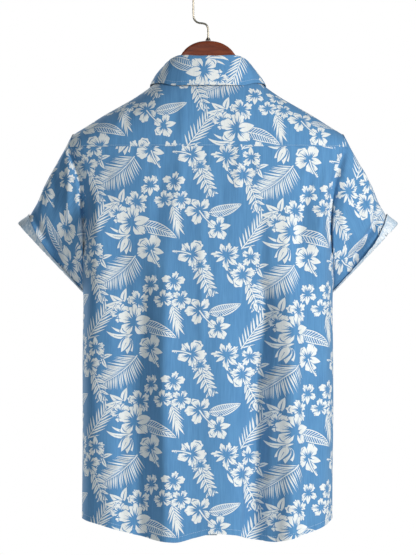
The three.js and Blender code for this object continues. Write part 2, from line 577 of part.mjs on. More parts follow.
// ---------------------------------------------------------------- hanger
// Sections across the hanger, each a rectangle with rounded corners
function wood() {
  const ring = [], corner = 0.3;
  for (const [cx, cz, a0] of [[1, 1, 0], [-1, 1, 90], [-1, -1, 180], [1, -1, 270]]) {
    for (const a of [0, 45, 90]) ring.push([cx * (1 - corner) + corner * Math.cos((a0 + a) * rad), cz, Math.sin((a0 + a) * rad)]);
  }
  const stations = [...WOOD_PARTS.slice(1).reverse().map((r) => ({ ...r, x: -r.x })), ...WOOD_PARTS];
  const at = [], index = [], N = ring.length;
  for (const { x, top, low, thick } of stations) {
    const mid = (top + low) / 2, high = (top - low) / 2, r = (corner * thick) / 2;
    for (const [u, cz, w] of ring) at.push(x, (u * thick) / 2, mid + cz * (high - r) + w * r);
  }
  for (let k = 0; k < stations.length - 1; k++) {
    for (let i = 0; i < N; i++) {
      const a = k * N + i, b = k * N + ((i + 1) % N), c = b + N, d = a + N;
      index.push(a, b, c, a, c, d);
    }
  }
  const end = (stations.length - 1) * N;
  for (let i = 1; i < N - 1; i++) index.push(0, i + 1, i, end, end + i, end + i + 1);
  const g = new THREE.BufferGeometry();
  g.setAttribute('position', new THREE.Float32BufferAttribute(at, 3));
  g.setIndex(index);
  g.computeVertexNormals();
  const m = new THREE.Mesh(g, WOOD);
  m.name = 'hanger_wood';
  return m;
}
function hook() {
  const C = HOOK_R, cz = -(HOOK_R - WIRE_D / 2);
  const pts = [V(0, 0, -98.2), V(0, 0, -90), V(0, 0, -82), V(0.6, 0, -76.5), V(3.2, 0, -72), V(8.2, 0, -70), V(14.5, 0, -69.2),
    V(19.6, 0, -67), V(23, 0, -62.5), V(24.2, 0, -56.5), V(24.4, 0, -48), V(24.4, 0, -38), V(24.4, 0, -30)];
  for (let a = 0; a <= 196; a += 14) pts.push(V(C * Math.cos(a * rad), 0, cz + C * Math.sin(a * rad)));
  const section = new THREE.Shape();
  for (let k = 0; k < 8; k++) {
    const a = ((k + 0.5) / 8) * 2 * Math.PI, p = [(WIRE_D / 2) * Math.cos(a), (WIRE_D / 2) * Math.sin(a)];
    if (k === 0) section.moveTo(...p); else section.lineTo(...p);
  }
  section.closePath();
  const g = new THREE.ExtrudeGeometry(section, { steps: 52, bevelEnabled: false, extrudePath: new THREE.CatmullRomCurve3(pts, false, 'centripetal') });
  const m = new THREE.Mesh(g, STEEL);
  m.name = 'hanger_hook';
  return m;
}
function ferrule() {
  const r = WIRE_D / 2 + 0.35;
  const profile = [[r, 0], [4.6, 0], [4.6, 1.4], [3.4, 2.2], [3.0, 4.6], [r, 4.6], [r, 0]].map(([x, y]) => new THREE.Vector2(x, y));
  const m = new THREE.Mesh(new THREE.LatheGeometry(profile, 20), FERRULE);
  m.name = 'hanger_ferrule';
  m.rotation.x = Math.PI / 2;
  m.position.z = WOOD_TOP_Z + 0.35;
  return m;
}

const shirt = new THREE.Group();
shirt.add(
  back.mesh('back', PRINT), yoke.mesh('yoke', PRINT),
  frontLeft.mesh('front_left', PRINT), frontRight.mesh('front_right', PRINT),
  sleeveLeft.mesh('sleeve_left', PRINT), sleeveRight.mesh('sleeve_right', PRINT),
  cuffLeft.mesh('cuff_left', WRONG), cuffRight.mesh('cuff_right', WRONG),
  collar.mesh('collar', COLLAR_LOOK),
);
for (let k = 0; k < BUTTON_Z.length; k++) shirt.add(button(k));
shirt.add(wood(), ferrule(), hook());
export default shirt;
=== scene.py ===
# A short-sleeved hawaiian shirt hanging on a wooden hanger: the cloth, its print,
# seams, stitches and buttons, the hanger, the light and the camera.
# Sizes below are in millimetres and are turned into metres where a mesh is made.
# The shirt's back faces +Y and is what the camera sees; +Z is up.
import bpy
import math
import numpy as np
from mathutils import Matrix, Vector
from mathutils.bvhtree import BVHTree
from mathutils.geometry import delaunay_2d_cdt


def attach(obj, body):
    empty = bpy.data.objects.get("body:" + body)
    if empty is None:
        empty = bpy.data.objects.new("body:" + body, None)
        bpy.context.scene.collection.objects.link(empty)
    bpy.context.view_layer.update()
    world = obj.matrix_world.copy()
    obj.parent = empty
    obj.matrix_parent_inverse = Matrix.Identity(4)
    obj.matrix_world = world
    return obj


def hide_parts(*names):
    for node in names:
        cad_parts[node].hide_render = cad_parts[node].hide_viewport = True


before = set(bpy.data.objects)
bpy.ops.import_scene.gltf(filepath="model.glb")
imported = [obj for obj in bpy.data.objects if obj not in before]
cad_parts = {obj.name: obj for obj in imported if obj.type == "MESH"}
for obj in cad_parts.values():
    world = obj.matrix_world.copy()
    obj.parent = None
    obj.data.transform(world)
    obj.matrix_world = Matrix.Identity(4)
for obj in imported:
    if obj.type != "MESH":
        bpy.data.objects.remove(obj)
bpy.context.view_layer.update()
MM = 0.001
rad = math.pi / 180

# ------------------------------------------------------------------ sizes
FULLNESS = 0.8
YOKE_SEAM_Z, CHEST_Z, UNDERARM_Z = -275.0, -300.0, -455.0
NECK_HALF, NECK_BACK, NECK_FRONT = 70.0, 48.0, 68.0
YOKE_NECK_ANGLE, YOKE_ARM_RISE = 122.0, 25.0
OVERLAP, UNDERLAP = 15.0, 2.2
CUFF_WIDTH, CUFF_WIDTH_UNDER = 25.0, 9.0
ROLL = 2.6
BUTTON_D, BUTTON_T = 11.5, 2.4
WIRE_D, HOOK_R, WOOD_TOP_Z = 3.2, 24.4, -98.7
WALL = 0.55                       # cloth as it is shown, thinner than its solid
PX = 1.65                         # millimetres to one unit of the print's chart

# z, half width, depth behind, depth in front, part of a quarter turn taken by the armhole
BODY = np.array([
    (-275, 235.0, 84.0, 84.0, 14.5), (-290, 236.0, 86.4, 86.8, 20.5), (-310, 237.0, 89.6, 90.5, 25.5),
    (-340, 236.0, 94.4, 96.0, 29.5), (-370, 232.5, 99.0, 101.0, 30.0), (-400, 226.0, 103.0, 105.0, 27.5),
    (-425, 218.0, 105.6, 107.0, 22.5), (-440, 212.8, 106.8, 107.6, 16.5), (-450, 209.6, 107.4, 107.9, 10.0),
    (-455, 208.2, 107.7, 108.0, 0.0), (-480, 205.2, 108.0, 107.6, 0.0), (-515, 204.7, 108.0, 106.5, 0.0),
    (-600, 205.2, 107.5, 104.0, 0.0), (-750, 205.0, 105.5, 100.0, 0.0), (-930, 204.4, 103.0, 98.0, 0.0)])
RIDGE = np.array([(0, -139), (35, -144), (72, -157.5), (95, -175.5), (120, -193), (145, -207.5),
                  (170, -221.5), (200, -240.5), (222, -254), (232, -261), (240, -266)], float)
HEM_BACK = np.array([(-206, -887), (-190, -897), (-165, -909), (-132, -920), (-108, -924), (-80, -921),
                     (-45, -913), (-10, -910.5), (22, -917), (54, -924.5), (78, -922.5), (110, -915),
                     (150, -905), (185, -894), (206, -887)], float)
HEM_FRONT = np.array([(-206, -887), (-185, -896), (-150, -907), (-100, -917), (-50, -921), (0, -922),
                      (50, -921), (100, -917), (150, -907), (185, -896), (206, -887)], float)
# Largest folds: x at the hem, lean, half width, how far out, where it dies away, where it is full
FOLDS = {
    "back": [(62, 0.02, 28, 12, -330, -700), (114, 0.02, 26, -12, -350, -720),
             (-78, 0.03, 26, -14, -320, -660), (-132, 0.02, 24, 13, -300, -640)],
    "front": [(-74, -0.04, 30, 9, -380, -780), (-138, -0.03, 28, -9, -360, -740),
              (66, 0.04, 32, 8, -360, -800), (134, 0.03, 30, -10, -350, -720)],
}
SLEEVE_TOP = np.array([(0, 0), (0.15, 2.5), (0.4, 3.4), (0.55, 4.5), (0.76, 9), (0.87, 9), (0.94, 5), (1, 0)], float)
CUFF = dict(outer=(313.5, -12, -401.5), inner=(202.5, -44, -520), half_depth=42.0)
# angle, stand, lean, x, y, z of the fall's edge
COLLAR = np.array([
    (0, 38.7, 0, 0, 63, -174), (20, 38.3, 0, 32, 60, -174), (40, 35.8, -0.5, 60, 49.5, -174.5),
    (55, 29.8, -1, 77, 37, -174), (72, 21, -1, 90, 18, -173), (90, 14.5, -0.5, 95, 0, -174),
    (110, 11.5, 0, 97, -34, -190), (130, 10, 0, 91, -60, -213), (150, 9.5, 0, 78, -75, -236),
    (165, 9.5, 0, 63, -82, -251), (178.6, 9.5, 0, 46, -86, -264)])
# x, upper edge, lower edge, thickness
WOOD_PARTS = np.array([
    (0, -98.7, -174, 13), (12, -99.8, -174.8, 13), (22, -102.6, -176.5, 13), (31, -107.2, -179.5, 13),
    (38, -113, -182.8, 13), (44, -120.5, -186.2, 13), (49, -129, -189.2, 13), (56, -143, -193.6, 13),
    (62, -155, -197.5, 13), (70, -164.5, -202.6, 13), (82, -173, -210.6, 13), (100, -184.5, -222, 12.8),
    (125, -199.8, -235.5, 12.5), (150, -214, -247.5, 12), (175, -229, -259.5, 11.5), (195, -241.8, -267.5, 11),
    (206, -250.5, -268.5, 9.5), (211, -256, -265.5, 6)])
BUTTON_Z = [-222, -310, -398, -486, -574, -662, -750]


# ------------------------------------------------------------------ numbers
class Curve:
    """A smooth curve through a table that never overshoots its rows."""

    def __init__(self, xs, ys):
        xs, ys = np.asarray(xs, float), np.asarray(ys, float)
        if xs[0] > xs[-1]:
            xs, ys = xs[::-1], ys[::-1]
        s = np.diff(ys) / np.diff(xs)
        m = np.zeros(len(xs))
        m[0], m[-1] = s[0], s[-1]
        a, b = s[:-1], s[1:]
        both = a * b > 0
        inner = np.zeros(len(a))
        inner[both] = 2 * a[both] * b[both] / (a[both] + b[both])
        m[1:-1] = inner
        self.x, self.y, self.m = xs, ys, m

    def __call__(self, q):
        q = np.clip(np.asarray(q, float), self.x[0], self.x[-1])
        k = np.clip(np.searchsorted(self.x, q, side="right") - 1, 0, len(self.x) - 2)
        h = self.x[k + 1] - self.x[k]
        t = (q - self.x[k]) / h
        return (self.y[k] * (1 + 2 * t) * (1 - t) ** 2 + self.m[k] * h * t * (1 - t) ** 2
                + self.y[k + 1] * t * t * (3 - 2 * t) + self.m[k + 1] * h * t * t * (t - 1))


def smooth(t):
    t = np.clip(t, 0, 1)
    return t * t * (3 - 2 * t)


def mix(a, b, t):
    return a + (b - a) * t


half_at = Curve(BODY[:, 0], BODY[:, 1])
deep_at = {"back": Curve(BODY[:, 0], BODY[:, 2]), "front": Curve(BODY[:, 0], BODY[:, 3])}
arm_at = Curve(BODY[:, 0], BODY[:, 4])
ridge_at = Curve(RIDGE[:, 0], RIDGE[:, 1])
hem_at = {"back": Curve(HEM_BACK[:, 0], HEM_BACK[:, 1]), "front": Curve(HEM_FRONT[:, 0], HEM_FRONT[:, 1])}
SIGN = {"back": 1.0, "front": -1.0}


def noise1(x, seed):
    """Smooth uneven waves along a line, about -1 to 1."""
    rng = np.random.default_rng(seed)
    out = np.zeros_like(np.asarray(x, float))
    for k in range(5):
        f = 0.6 * 1.7 ** k
        out = out + np.sin(x * f + rng.uniform(0, 6.3)) / (1.35 ** k)
    return out / 2.6


def fold_at(face, x, z):
    out = 0.0
    for fx, lean, wide, far, top, full in FOLDS[face]:
        s = (x - fx - lean * (z + 900)) / wide
        out = out + far * np.exp(-s * s) * smooth((top - z) / (top - full))
    return out


def body(face, turn, z, inward=0.0, folds=True):
    """A point of the body; turn is 0 at the centre and 90 degrees at the side."""
    half, deep = half_at(z), deep_at[face](z)
    c, s = np.maximum(np.cos(turn), 1e-5), np.sin(turn)
    x, y = half * s, deep * c ** FULLNESS
    nx, ny = deep * FULLNESS * c ** (FULLNESS - 1) * s, half * c
    n = np.hypot(nx, ny)
    out = (fold_at(face, x, z) * np.minimum(1, 2.2 * c) if folds else 0.0) - inward
    return np.stack([x + nx / n * out, SIGN[face] * (y + ny / n * out), z + 0 * x], -1)


def side_turn(z):
    return np.where(z < UNDERARM_Z, 90.0, 90.0 - arm_at(z)) * rad


def shoulder(x, over, inward=0.0):
    """A point of the shoulder; over is 0 behind, 90 on the shoulder line, 180 in front."""
    x, over = np.broadcast_arrays(np.asarray(x, float), np.asarray(over, float))
    behind = over <= 90
    z0 = np.where(behind, YOKE_SEAM_Z, CHEST_Z)
    half = np.where(behind, half_at(YOKE_SEAM_Z), half_at(CHEST_Z))
    deep = np.where(behind, deep_at["back"](YOKE_SEAM_Z), deep_at["front"](CHEST_Z))
    turn = np.arcsin(np.clip(x / half, -1, 1))
    y = deep * np.maximum(np.cos(turn), 1e-5) ** FULLNESS - inward
    ridge = ridge_at(np.abs(x)) - inward
    return np.stack([x, y * np.cos(over * rad), z0 + (ridge - z0) * np.sin(over * rad)], -1)


def over_at(x, y):
    x, y = np.broadcast_arrays(np.asarray(x, float), np.asarray(y, float))
    behind = y >= 0
    half = np.where(behind, half_at(YOKE_SEAM_Z), half_at(CHEST_Z))
    deep = np.where(behind, deep_at["back"](YOKE_SEAM_Z), deep_at["front"](CHEST_Z))
    reach = deep * np.cos(np.arcsin(np.clip(x / half, -1, 1))) ** FULLNESS
    return np.arccos(np.clip(y / reach, -1, 1)) / rad


def neck_plan(angle):
    x, c = NECK_HALF * np.sin(angle * rad), np.cos(angle * rad)
    return x, c * np.where(c >= 0, NECK_BACK, NECK_FRONT)


def neck_point(angle, inward=0.0):
    x, y = neck_plan(angle)
    return shoulder(x, over_at(x, y), inward)


# ------------------------------------------------------------------ panels
def sample(table, fi, fj):
    """Reads a table [row, column, ...] between its entries."""
    rows, cols = table.shape[:2]
    fi, fj = np.clip(fi, 0, cols - 1.0001), np.clip(fj, 0, rows - 1.0001)
    i, j = fi.astype(int), fj.astype(int)
    a, b = fi - i, fj - j
    if table.ndim > 2:
        a, b = a[..., None], b[..., None]
    return ((table[j, i] * (1 - a) + table[j, i + 1] * a) * (1 - b)
            + (table[j + 1, i] * (1 - a) + table[j + 1, i + 1] * a) * b)


def unit(v):
    return v / np.maximum(np.linalg.norm(v, axis=-1, keepdims=True), 1e-9)


def grid_normals(p):
    """Normals of a grid of points, to the left of its columns' way and its rows' way."""
    return unit(np.cross(np.gradient(p, axis=1), np.gradient(p, axis=0)))


class Panel:
    """A piece of cloth laid out flat in (e, v): e to the right and v up, as seen from
    outside. table holds its places in space on a dense grid, and where(e, v) finds
    the grid's own numbers for a place on the flat piece."""

    def __init__(self, table, where, out_hint):
        self.p, self.where = table, where
        n = grid_normals(table)
        self.turn = 1.0 if np.mean(np.sum(n * out_hint, -1)) > 0 else -1.0
        self.n = n * self.turn

    def raise_by(self, amount):
        """Moves the cloth out by an amount at each place of the grid."""
        self.p = self.p + self.n * amount[..., None]
        self.n = grid_normals(self.p) * self.turn

    def at(self, e, v, off=0.0):
        fi, fj = self.where(np.asarray(e, float), np.asarray(v, float))
        p, n = sample(self.p, fi, fj), unit(sample(self.n, fi, fj))
        return p + n * off, n


def crease(E, V, rows):
    """Soft troughs and ridges: e, v of its two ends, half width, height, and the
    share of its length over which each end fades."""
    out = np.zeros_like(E)
    for e0, v0, e1, v1, wide, high, fade in rows:
        de, dv = e1 - e0, v1 - v0
        long = math.hypot(de, dv)
        t = ((E - e0) * de + (V - v0) * dv) / long ** 2
        s = ((E - e0) * dv - (V - v0) * de) / long
        # the line of a crease wanders a little
        s = s + 0.22 * wide * np.sin(t * 5.1 + e0) + 0.1 * wide * np.sin(t * 13 + v0)
        out += high * np.exp(-(s / wide) ** 2) * smooth(t / fade) * smooth((1 - t) / fade)
    return out


def lump(E, V, rows):
    """Soft dents and swells: e, v, half width, half height, how far out."""
    out = np.zeros_like(E)
    for e0, v0, we, wv, high in rows:
        out += high * np.exp(-((E - e0) / we) ** 2 - ((V - v0) / wv) ** 2)
    return out


# Arc of a quarter of each body section, and the turn at each share of it
Z_LOW, Z_HIGH, Z_STEP = -935.0, -268.0, 3.0
Z_ROWS = np.arange(Z_LOW, Z_HIGH + Z_STEP / 2, Z_STEP)
SHARES = np.linspace(0, 1, 181)
QUARTER, TURN_AT = {}, {}
for face in ("back", "front"):
    turns = np.linspace(0, 90, 721) * rad
    T, Z = np.meshgrid(turns, Z_ROWS)
    sec = body(face, T, Z, folds=False)
    arc = np.concatenate([np.zeros((len(Z_ROWS), 1)),
                          np.cumsum(np.linalg.norm(np.diff(sec, axis=1), axis=-1), axis=1)], axis=1)
    QUARTER[face] = arc[:, -1]
    TURN_AT[face] = np.array([np.interp(SHARES * a[-1], a, turns) for a in arc])


def quarter_at(face, z):
    return np.interp(z, Z_ROWS, QUARTER[face])


def arc_of(face, turn, z):
    """Length round a section from its centre to a turn, + to +X."""
    rows = np.clip((np.asarray(z, float) - Z_LOW) / Z_STEP, 0, len(Z_ROWS) - 1.001)
    j = rows.astype(int)
    f = rows - j
    turn = np.asarray(turn, float)
    out = np.empty(np.broadcast(turn, j).shape)
    tt, jj, ff = np.broadcast_arrays(turn, j, f)
    for k in np.ndindex(out.shape):
        a = np.interp(abs(tt[k]), TURN_AT[face][jj[k]], SHARES * QUARTER[face][jj[k]])
        b = np.interp(abs(tt[k]), TURN_AT[face][jj[k] + 1], SHARES * QUARTER[face][jj[k] + 1])
        out[k] = np.sign(tt[k]) * (a + (b - a) * ff[k])
    return out


# ---- back: e runs to -X, which is to the right as seen from behind
EDGE_TUCK = 3.0                   # how far the top of the back goes in under the yoke


def body_table(face, rows_z, shares):
    """Places of a body panel at heights and at signed shares of the quarter arc."""
    rows = np.clip((rows_z - Z_LOW) / Z_STEP, 0, len(Z_ROWS) - 1.001)
    S, R = np.meshgrid(np.abs(shares) * 180.0, rows)
    turn = sample(TURN_AT[face], S, R) * np.sign(shares)[None, :]
    return turn


BACK_Z = np.linspace(-930, YOKE_SEAM_Z + EDGE_TUCK, 260)
BACK_S = np.linspace(-1, 1, 241)


def make_back():
    turn = body_table("back", BACK_Z, -BACK_S)
    Z = np.broadcast_to(BACK_Z[:, None], turn.shape)
    p = body("back", turn, Z)

    def where(e, v):
        s = e / quarter_at("back", v)
        return (s + 1) / 2 * (len(BACK_S) - 1), (v - BACK_Z[0]) / (BACK_Z[-1] - BACK_Z[0]) * (len(BACK_Z) - 1)
    panel = Panel(p, where, np.array([0, 1.0, 0]))
    panel.E = BACK_S[None, :] * quarter_at("back", BACK_Z)[:, None]
    panel.V = Z
    return panel


def hem_height(face, e, sign):
    """Height of the hem at a place along it."""
    turns = np.linspace(-90, 90, 361) * rad
    pts = body(face, turns, np.full(361, -887.0))
    arcs = np.array([np.sign(t) * np.interp(abs(t), TURN_AT[face][16], SHARES * QUARTER[face][16]) for t in turns])
    return np.interp(e, sign * arcs[::sign], hem_at[face](pts[:, 0])[::sign])


# ---- yoke: e runs to -X as for the back; v is 0 at its seam and grows over the shoulder
YOKE_X = np.linspace(-241, 241, 242)
YOKE_OVER = np.linspace(-6, 176, 260)


def spread(x):
    """Distance along the cloth across the yoke, for a distance from the centre."""
    xs = np.linspace(0, 245, 491)
    dz = np.gradient(ridge_at(xs), xs)
    e = np.concatenate([[0], np.cumsum(np.hypot(1, 0.55 * dz)[:-1] * np.diff(xs))])
    return np.sign(x) * np.interp(np.abs(x), xs, e), (xs, e)


def over_lengths(x_list, over_list, zero):
    """Length over the shoulder at each x, from the turn `zero`."""
    X, O = np.meshgrid(x_list, over_list)
    p = shoulder(X, O)
    d = np.concatenate([np.zeros((1, len(x_list))), np.cumsum(np.linalg.norm(np.diff(p, axis=0), axis=-1), axis=0)])
    at0 = np.array([np.interp(zero, over_list, d[:, i]) for i in range(len(x_list))])
    return p, d - at0


YOKE_P, YOKE_LEN = over_lengths(YOKE_X, YOKE_OVER, 0.0)
YOKE_V = np.linspace(-8, 400, 409)
YOKE_INV = np.array([np.interp(YOKE_V, YOKE_LEN[:, i], np.arange(len(YOKE_OVER))) for i in range(len(YOKE_X))]).T


def make_yoke():
    _, (xs, es) = spread(0.0)
    p = YOKE_P[:, ::-1]
    inv = YOKE_INV[:, ::-1]

    def where(e, v):
        x = -np.sign(e) * np.interp(np.abs(e), es, xs)
        fi = (x - YOKE_X[0]) / (YOKE_X[1] - YOKE_X[0])
        fi = len(YOKE_X) - 1 - fi
        return fi, sample(inv, fi, (v - YOKE_V[0]) / (YOKE_V[1] - YOKE_V[0]))
    panel = Panel(p, where, np.array([0, 0.4, 0.6]))
    panel.E = np.broadcast_to(-spread(YOKE_X[::-1])[0][None, :], p.shape[:2])
    panel.V = YOKE_LEN[:, ::-1]
    return panel


def yoke_flat(x, over):
    """(e, v) of a place given by x and its turn over the shoulder."""
    x, over = np.broadcast_arrays(np.asarray(x, float), np.asarray(over, float))
    fi = (x - YOKE_X[0]) / (YOKE_X[1] - YOKE_X[0])
    fj = (over - YOKE_OVER[0]) / (YOKE_OVER[1] - YOKE_OVER[0])
    return -spread(x)[0], sample(YOKE_LEN, fi, fj)


ARM_X = float(half_at(CHEST_Z) * np.sin(side_turn(np.array([CHEST_Z]))[0]))
YOKE_HALF = float(half_at(YOKE_SEAM_Z))
YOKE_SIDE = float(side_turn(np.array([YOKE_SEAM_Z]))[0])


def yoke_side(t, side):
    """The yoke's armhole edge, t from 0 behind to 1 in front."""
    x = mix(YOKE_HALF * math.sin(YOKE_SIDE), ARM_X, t) + 3 * np.sin(np.pi * t)
    return side * x, (180 - YOKE_ARM_RISE) * t


def yoke_front(t, side):
    """The seam in front of the shoulder, t from 0 at the neck to 1 at the armhole."""
    nx, ny = neck_plan(np.float64(YOKE_NECK_ANGLE))
    return side * mix(nx, ARM_X, t), mix(over_at(nx, ny), 180 - YOKE_ARM_RISE, t ** 1.6)


# ---- fronts: e runs to +X, to the right as seen from in front; v is z up to the chest
# and the length over the shoulder above it
FRONT_Z = np.linspace(-930, CHEST_Z, 230)
FRONT_OVER = np.linspace(180, 84, 90)[1:]
FRONT_TURNS_TOP = None


def make_front(side):
    lo, hi = (-0.10, 1.0)
    s = np.linspace(lo, hi, 150) if side > 0 else np.linspace(-hi, -lo, 150)
    turn = body_table("front", FRONT_Z, s)
    Z = np.broadcast_to(FRONT_Z[:, None], turn.shape)
    low = body("front", turn, Z)
    top_turn = turn[-1]
    x = float(half_at(CHEST_Z)) * np.sin(top_turn)
    X, O = np.meshgrid(x, FRONT_OVER)
    high = shoulder(X, O)
    p = np.concatenate([low, high])
    step = np.linalg.norm(np.diff(p[len(FRONT_Z) - 1:], axis=0), axis=-1)
    length = CHEST_Z + np.concatenate([np.zeros((1, len(s))), np.cumsum(step, axis=0)])
    V = np.concatenate([Z[:-1], length])
    q_top = float(quarter_at("front", CHEST_Z))
    vs = np.linspace(CHEST_Z, CHEST_Z + 420, 421)
    inv = np.array([np.interp(vs, length[:, i], np.arange(len(length))) for i in range(len(s))]).T
    n_low = len(FRONT_Z)

    def where(e, v):
        low_v = np.minimum(v, CHEST_Z)
        share = e / quarter_at("front", low_v)
        fi = (share - s[0]) / (s[-1] - s[0]) * (len(s) - 1)
        fj = (low_v - FRONT_Z[0]) / (FRONT_Z[-1] - FRONT_Z[0]) * (n_low - 1)
        up = n_low - 1 + sample(inv, np.clip(fi, 0, len(s) - 1), (v - CHEST_Z))
        return fi, np.where(v > CHEST_Z, up, fj)
    panel = Panel(p, where, np.array([0, -1.0, 0.2]))
    e_low = s[None, :] * quarter_at("front", FRONT_Z)[:, None]
    panel.E = np.concatenate([e_low[:-1], np.broadcast_to(s[None, :] * q_top, length.shape)])
    panel.V = V
    panel.s, panel.length, panel.q_top = s, length, q_top

    def flat(x, over):
        x, over = np.broadcast_arrays(np.asarray(x, float), np.asarray(over, float))
        t = np.arcsin(np.clip(x / float(half_at(CHEST_Z)), -1, 1))
        share = np.interp(t, top_turn if top_turn[0] < top_turn[-1] else top_turn[::-1],
                          s if top_turn[0] < top_turn[-1] else s[::-1])
        fi = (share - s[0]) / (s[-1] - s[0]) * (len(s) - 1)
        fj = (180 - over) / (180 - FRONT_OVER[0])
        return share * q_top, sample(length, fi, fj)
    panel.flat = flat
    # the right front lies a little behind the left one near the centre
    c = 11 * (1 - np.concatenate([np.broadcast_to(s, Z[:-1].shape), np.broadcast_to(s, length.shape)]) * side)
    if side < 0:
        panel.p = panel.p - panel.n * (UNDERLAP * smooth((c - 8.6) / 2))[..., None]
        panel.n = grid_normals(panel.p) * panel.turn
    return panel


# ---- sleeves
def armhole_line(side, count=240):
    """Places round the armhole from the underarm, up behind, over and down in front,
    evenly spaced."""
    z = np.linspace(UNDERARM_Z, YOKE_SEAM_Z, 60)
    behind = body("back", side * side_turn(z + 1e-6), z)
    t = np.linspace(0, 1, 60)[1:]
    over = shoulder(*yoke_side(t, side))
    x1 = half_at(CHEST_Z) * np.sin(side_turn(np.array([CHEST_Z]))[0])
    o = np.linspace(180 - YOKE_ARM_RISE, 180, 12)[1:]
    before_top = shoulder(np.full(len(o), side * float(x1)), o)
    z = np.linspace(CHEST_Z, UNDERARM_Z, 50)[1:]
    before = body("front", side * side_turn(z + 1e-6), z)
    ring = np.concatenate([behind, over, before_top, before])
    d = np.concatenate([[0], np.cumsum(np.linalg.norm(np.diff(ring, axis=0), axis=-1))])
    want = np.linspace(0, d[-1], count + 1)
    out = np.stack([np.interp(want, d, ring[:, k]) for k in range(3)], -1)
    out[-1] = out[0]
    return out, d[-1]


def cuff_ring(side, count=240):
    a, b = np.array(CUFF["inner"]), np.array(CUFF["outer"])
    t = np.linspace(0, 2 * np.pi, 1441)
    q = (a + b) / 2 + np.cos(t)[:, None] * (a - b) / 2
    q[:, 1] += CUFF["half_depth"] * np.sin(t)
    q[:, 0] *= side
    d = np.concatenate([[0], np.cumsum(np.linalg.norm(np.diff(q, axis=0), axis=-1))])
    want = np.linspace(0, d[-1], count + 1)
    return np.stack([np.interp(want, d, q[:, k]) for k in range(3)], -1), np.interp(want, d, t), d[-1]


SLEEVE_ROWS = 90
sleeve_dip = Curve(SLEEVE_TOP[:, 0], SLEEVE_TOP[:, 1])


def make_sleeve(side):
    start, long0 = armhole_line(side)
    end, turn, long1 = cuff_ring(side)
    v = np.linspace(-0.02, 1, SLEEVE_ROWS)[:, None]
    vc = np.clip(v, 0, 1)
    p = start[None] * (1 - v[..., None]) + end[None] * v[..., None]
    top, under, flank = np.maximum(0, -np.cos(turn)) ** 1.5, np.maximum(0, np.cos(turn)) ** 2, np.abs(np.sin(turn))
    dip = sleeve_dip(vc) * top
    fill = np.sin(np.pi * vc ** 0.7)
    # its underside hangs close against the body's side
    close = np.maximum(0, np.cos(turn)) * smooth(vc / 0.3)
    p[..., 0] += -side * dip * 0.88 + side * 6 * flank * fill - side * 4.0 * close
    p[..., 2] += -dip * 0.47 - 2 * under * fill - 4.0 * close * smooth(vc / 0.8)
    p[..., 1] += np.sign(np.sin(turn)) * 5 * flank * fill
    length = np.linalg.norm(end - start, axis=-1)
    k = np.exp(-np.linspace(-3, 3, 31) ** 2 / 2)
    around = np.concatenate([length[:-1]] * 3)
    length = np.convolve(around, k / k.sum(), "same")[240:481]
    girth = (long0 + long1) / 2
    # seen from outside with the armhole up, right is towards the back for the left sleeve
    sign = -side

    def where(e, v):
        s = 0.5 + sign * e / girth
        fi = s * 240
        L = np.interp(fi, np.arange(241), length)
        share = 1 - v / L
        return fi, (share + 0.02) / 1.02 * (SLEEVE_ROWS - 1)
    centre = (start.mean(0) + end.mean(0)) / 2
    panel = Panel(p, where, unit(p - mix(start.mean(0), end.mean(0), v[..., None])))
    panel.E = np.broadcast_to(sign * (np.linspace(0, 1, 241) - 0.5) * girth, p.shape[:2])
    panel.V = (1 - v) * length[None]
    panel.girth, panel.length, panel.side, panel.sign, panel.turn_list = girth, length, side, sign, turn
    return panel


def make_cuff(sleeve):
    """The sleeve's end turned up over itself, from inside its fold to its free edge."""
    side, n_cols = sleeve.side, 241
    rows = []
    last = SLEEVE_ROWS - 1
    p, n = sleeve.p, sleeve.n
    step = np.linalg.norm(np.diff(p, axis=0), axis=-1)
    back_up = np.concatenate([np.zeros((1, n_cols)), np.cumsum(step[::-1], axis=0)])     # from the end upwards
    up = unit(p[last - 2] - p[last])
    share = np.abs(np.linspace(0, 1, n_cols) * 2 - 1)
    wide = np.interp(share, [0, 0.08, 0.16, 0.26, 0.38, 0.52, 0.68, 0.85, 1],
                     [25, 22, 16, 11, 8.0, 6.0, 4.6, 4.0, 4.0])
    for a in np.linspace(-90, 80, 12) * rad:
        rows.append(p[last] + n[last] * (0.75 + 1.15 * np.sin(a)) - up * 1.15 * np.cos(a))
    for s in np.linspace(0, 1, 26):
        left = wide * s
        fj = np.array([np.interp(left[i], back_up[:, i], last - np.arange(SLEEVE_ROWS)) for i in range(n_cols)])
        fi = np.arange(n_cols, dtype=float)
        q, m = sample(p, fi, fj), unit(sample(n, fi, fj))
        lift = 1.9 + s * (0.5 + 4.6 * np.exp(-((share - 0.36) / 0.2) ** 2)) * smooth((1 - share) / 0.3) \
            + 0.5 * s * noise1(np.linspace(0, 14, n_cols), 5 + side)
        rows.append(q + m * lift[:, None])
    q = np.array(rows)
    length = np.concatenate([np.zeros((1, n_cols)), np.cumsum(np.linalg.norm(np.diff(q, axis=0), axis=-1), axis=0)])
    vs = np.linspace(0, 34, 69)
    inv = np.array([np.interp(vs, length[:, i], np.arange(len(q))) for i in range(n_cols)]).T

    def where(e, v):
        fi = (0.5 + sleeve.sign * e / sleeve.girth) * 240
        return fi, sample(inv, np.clip(fi, 0, 240), v / 0.5)
    centre = sleeve.p[last].mean(0)
    panel = Panel(q, where, unit(q - centre))
    panel.E, panel.V, panel.length, panel.wide = np.broadcast_to(sleeve.E[0], length.shape), length, length[-1], wide
    panel.girth, panel.sign, panel.side = sleeve.girth, sleeve.sign, side
    return panel


# ---- collar: e runs to -X at the back, v is 0 on its roll, below 0 down the fall and
# above 0 down the stand, on the inside
COLLAR_ANGLES = np.linspace(178.6, -178.6, 301)


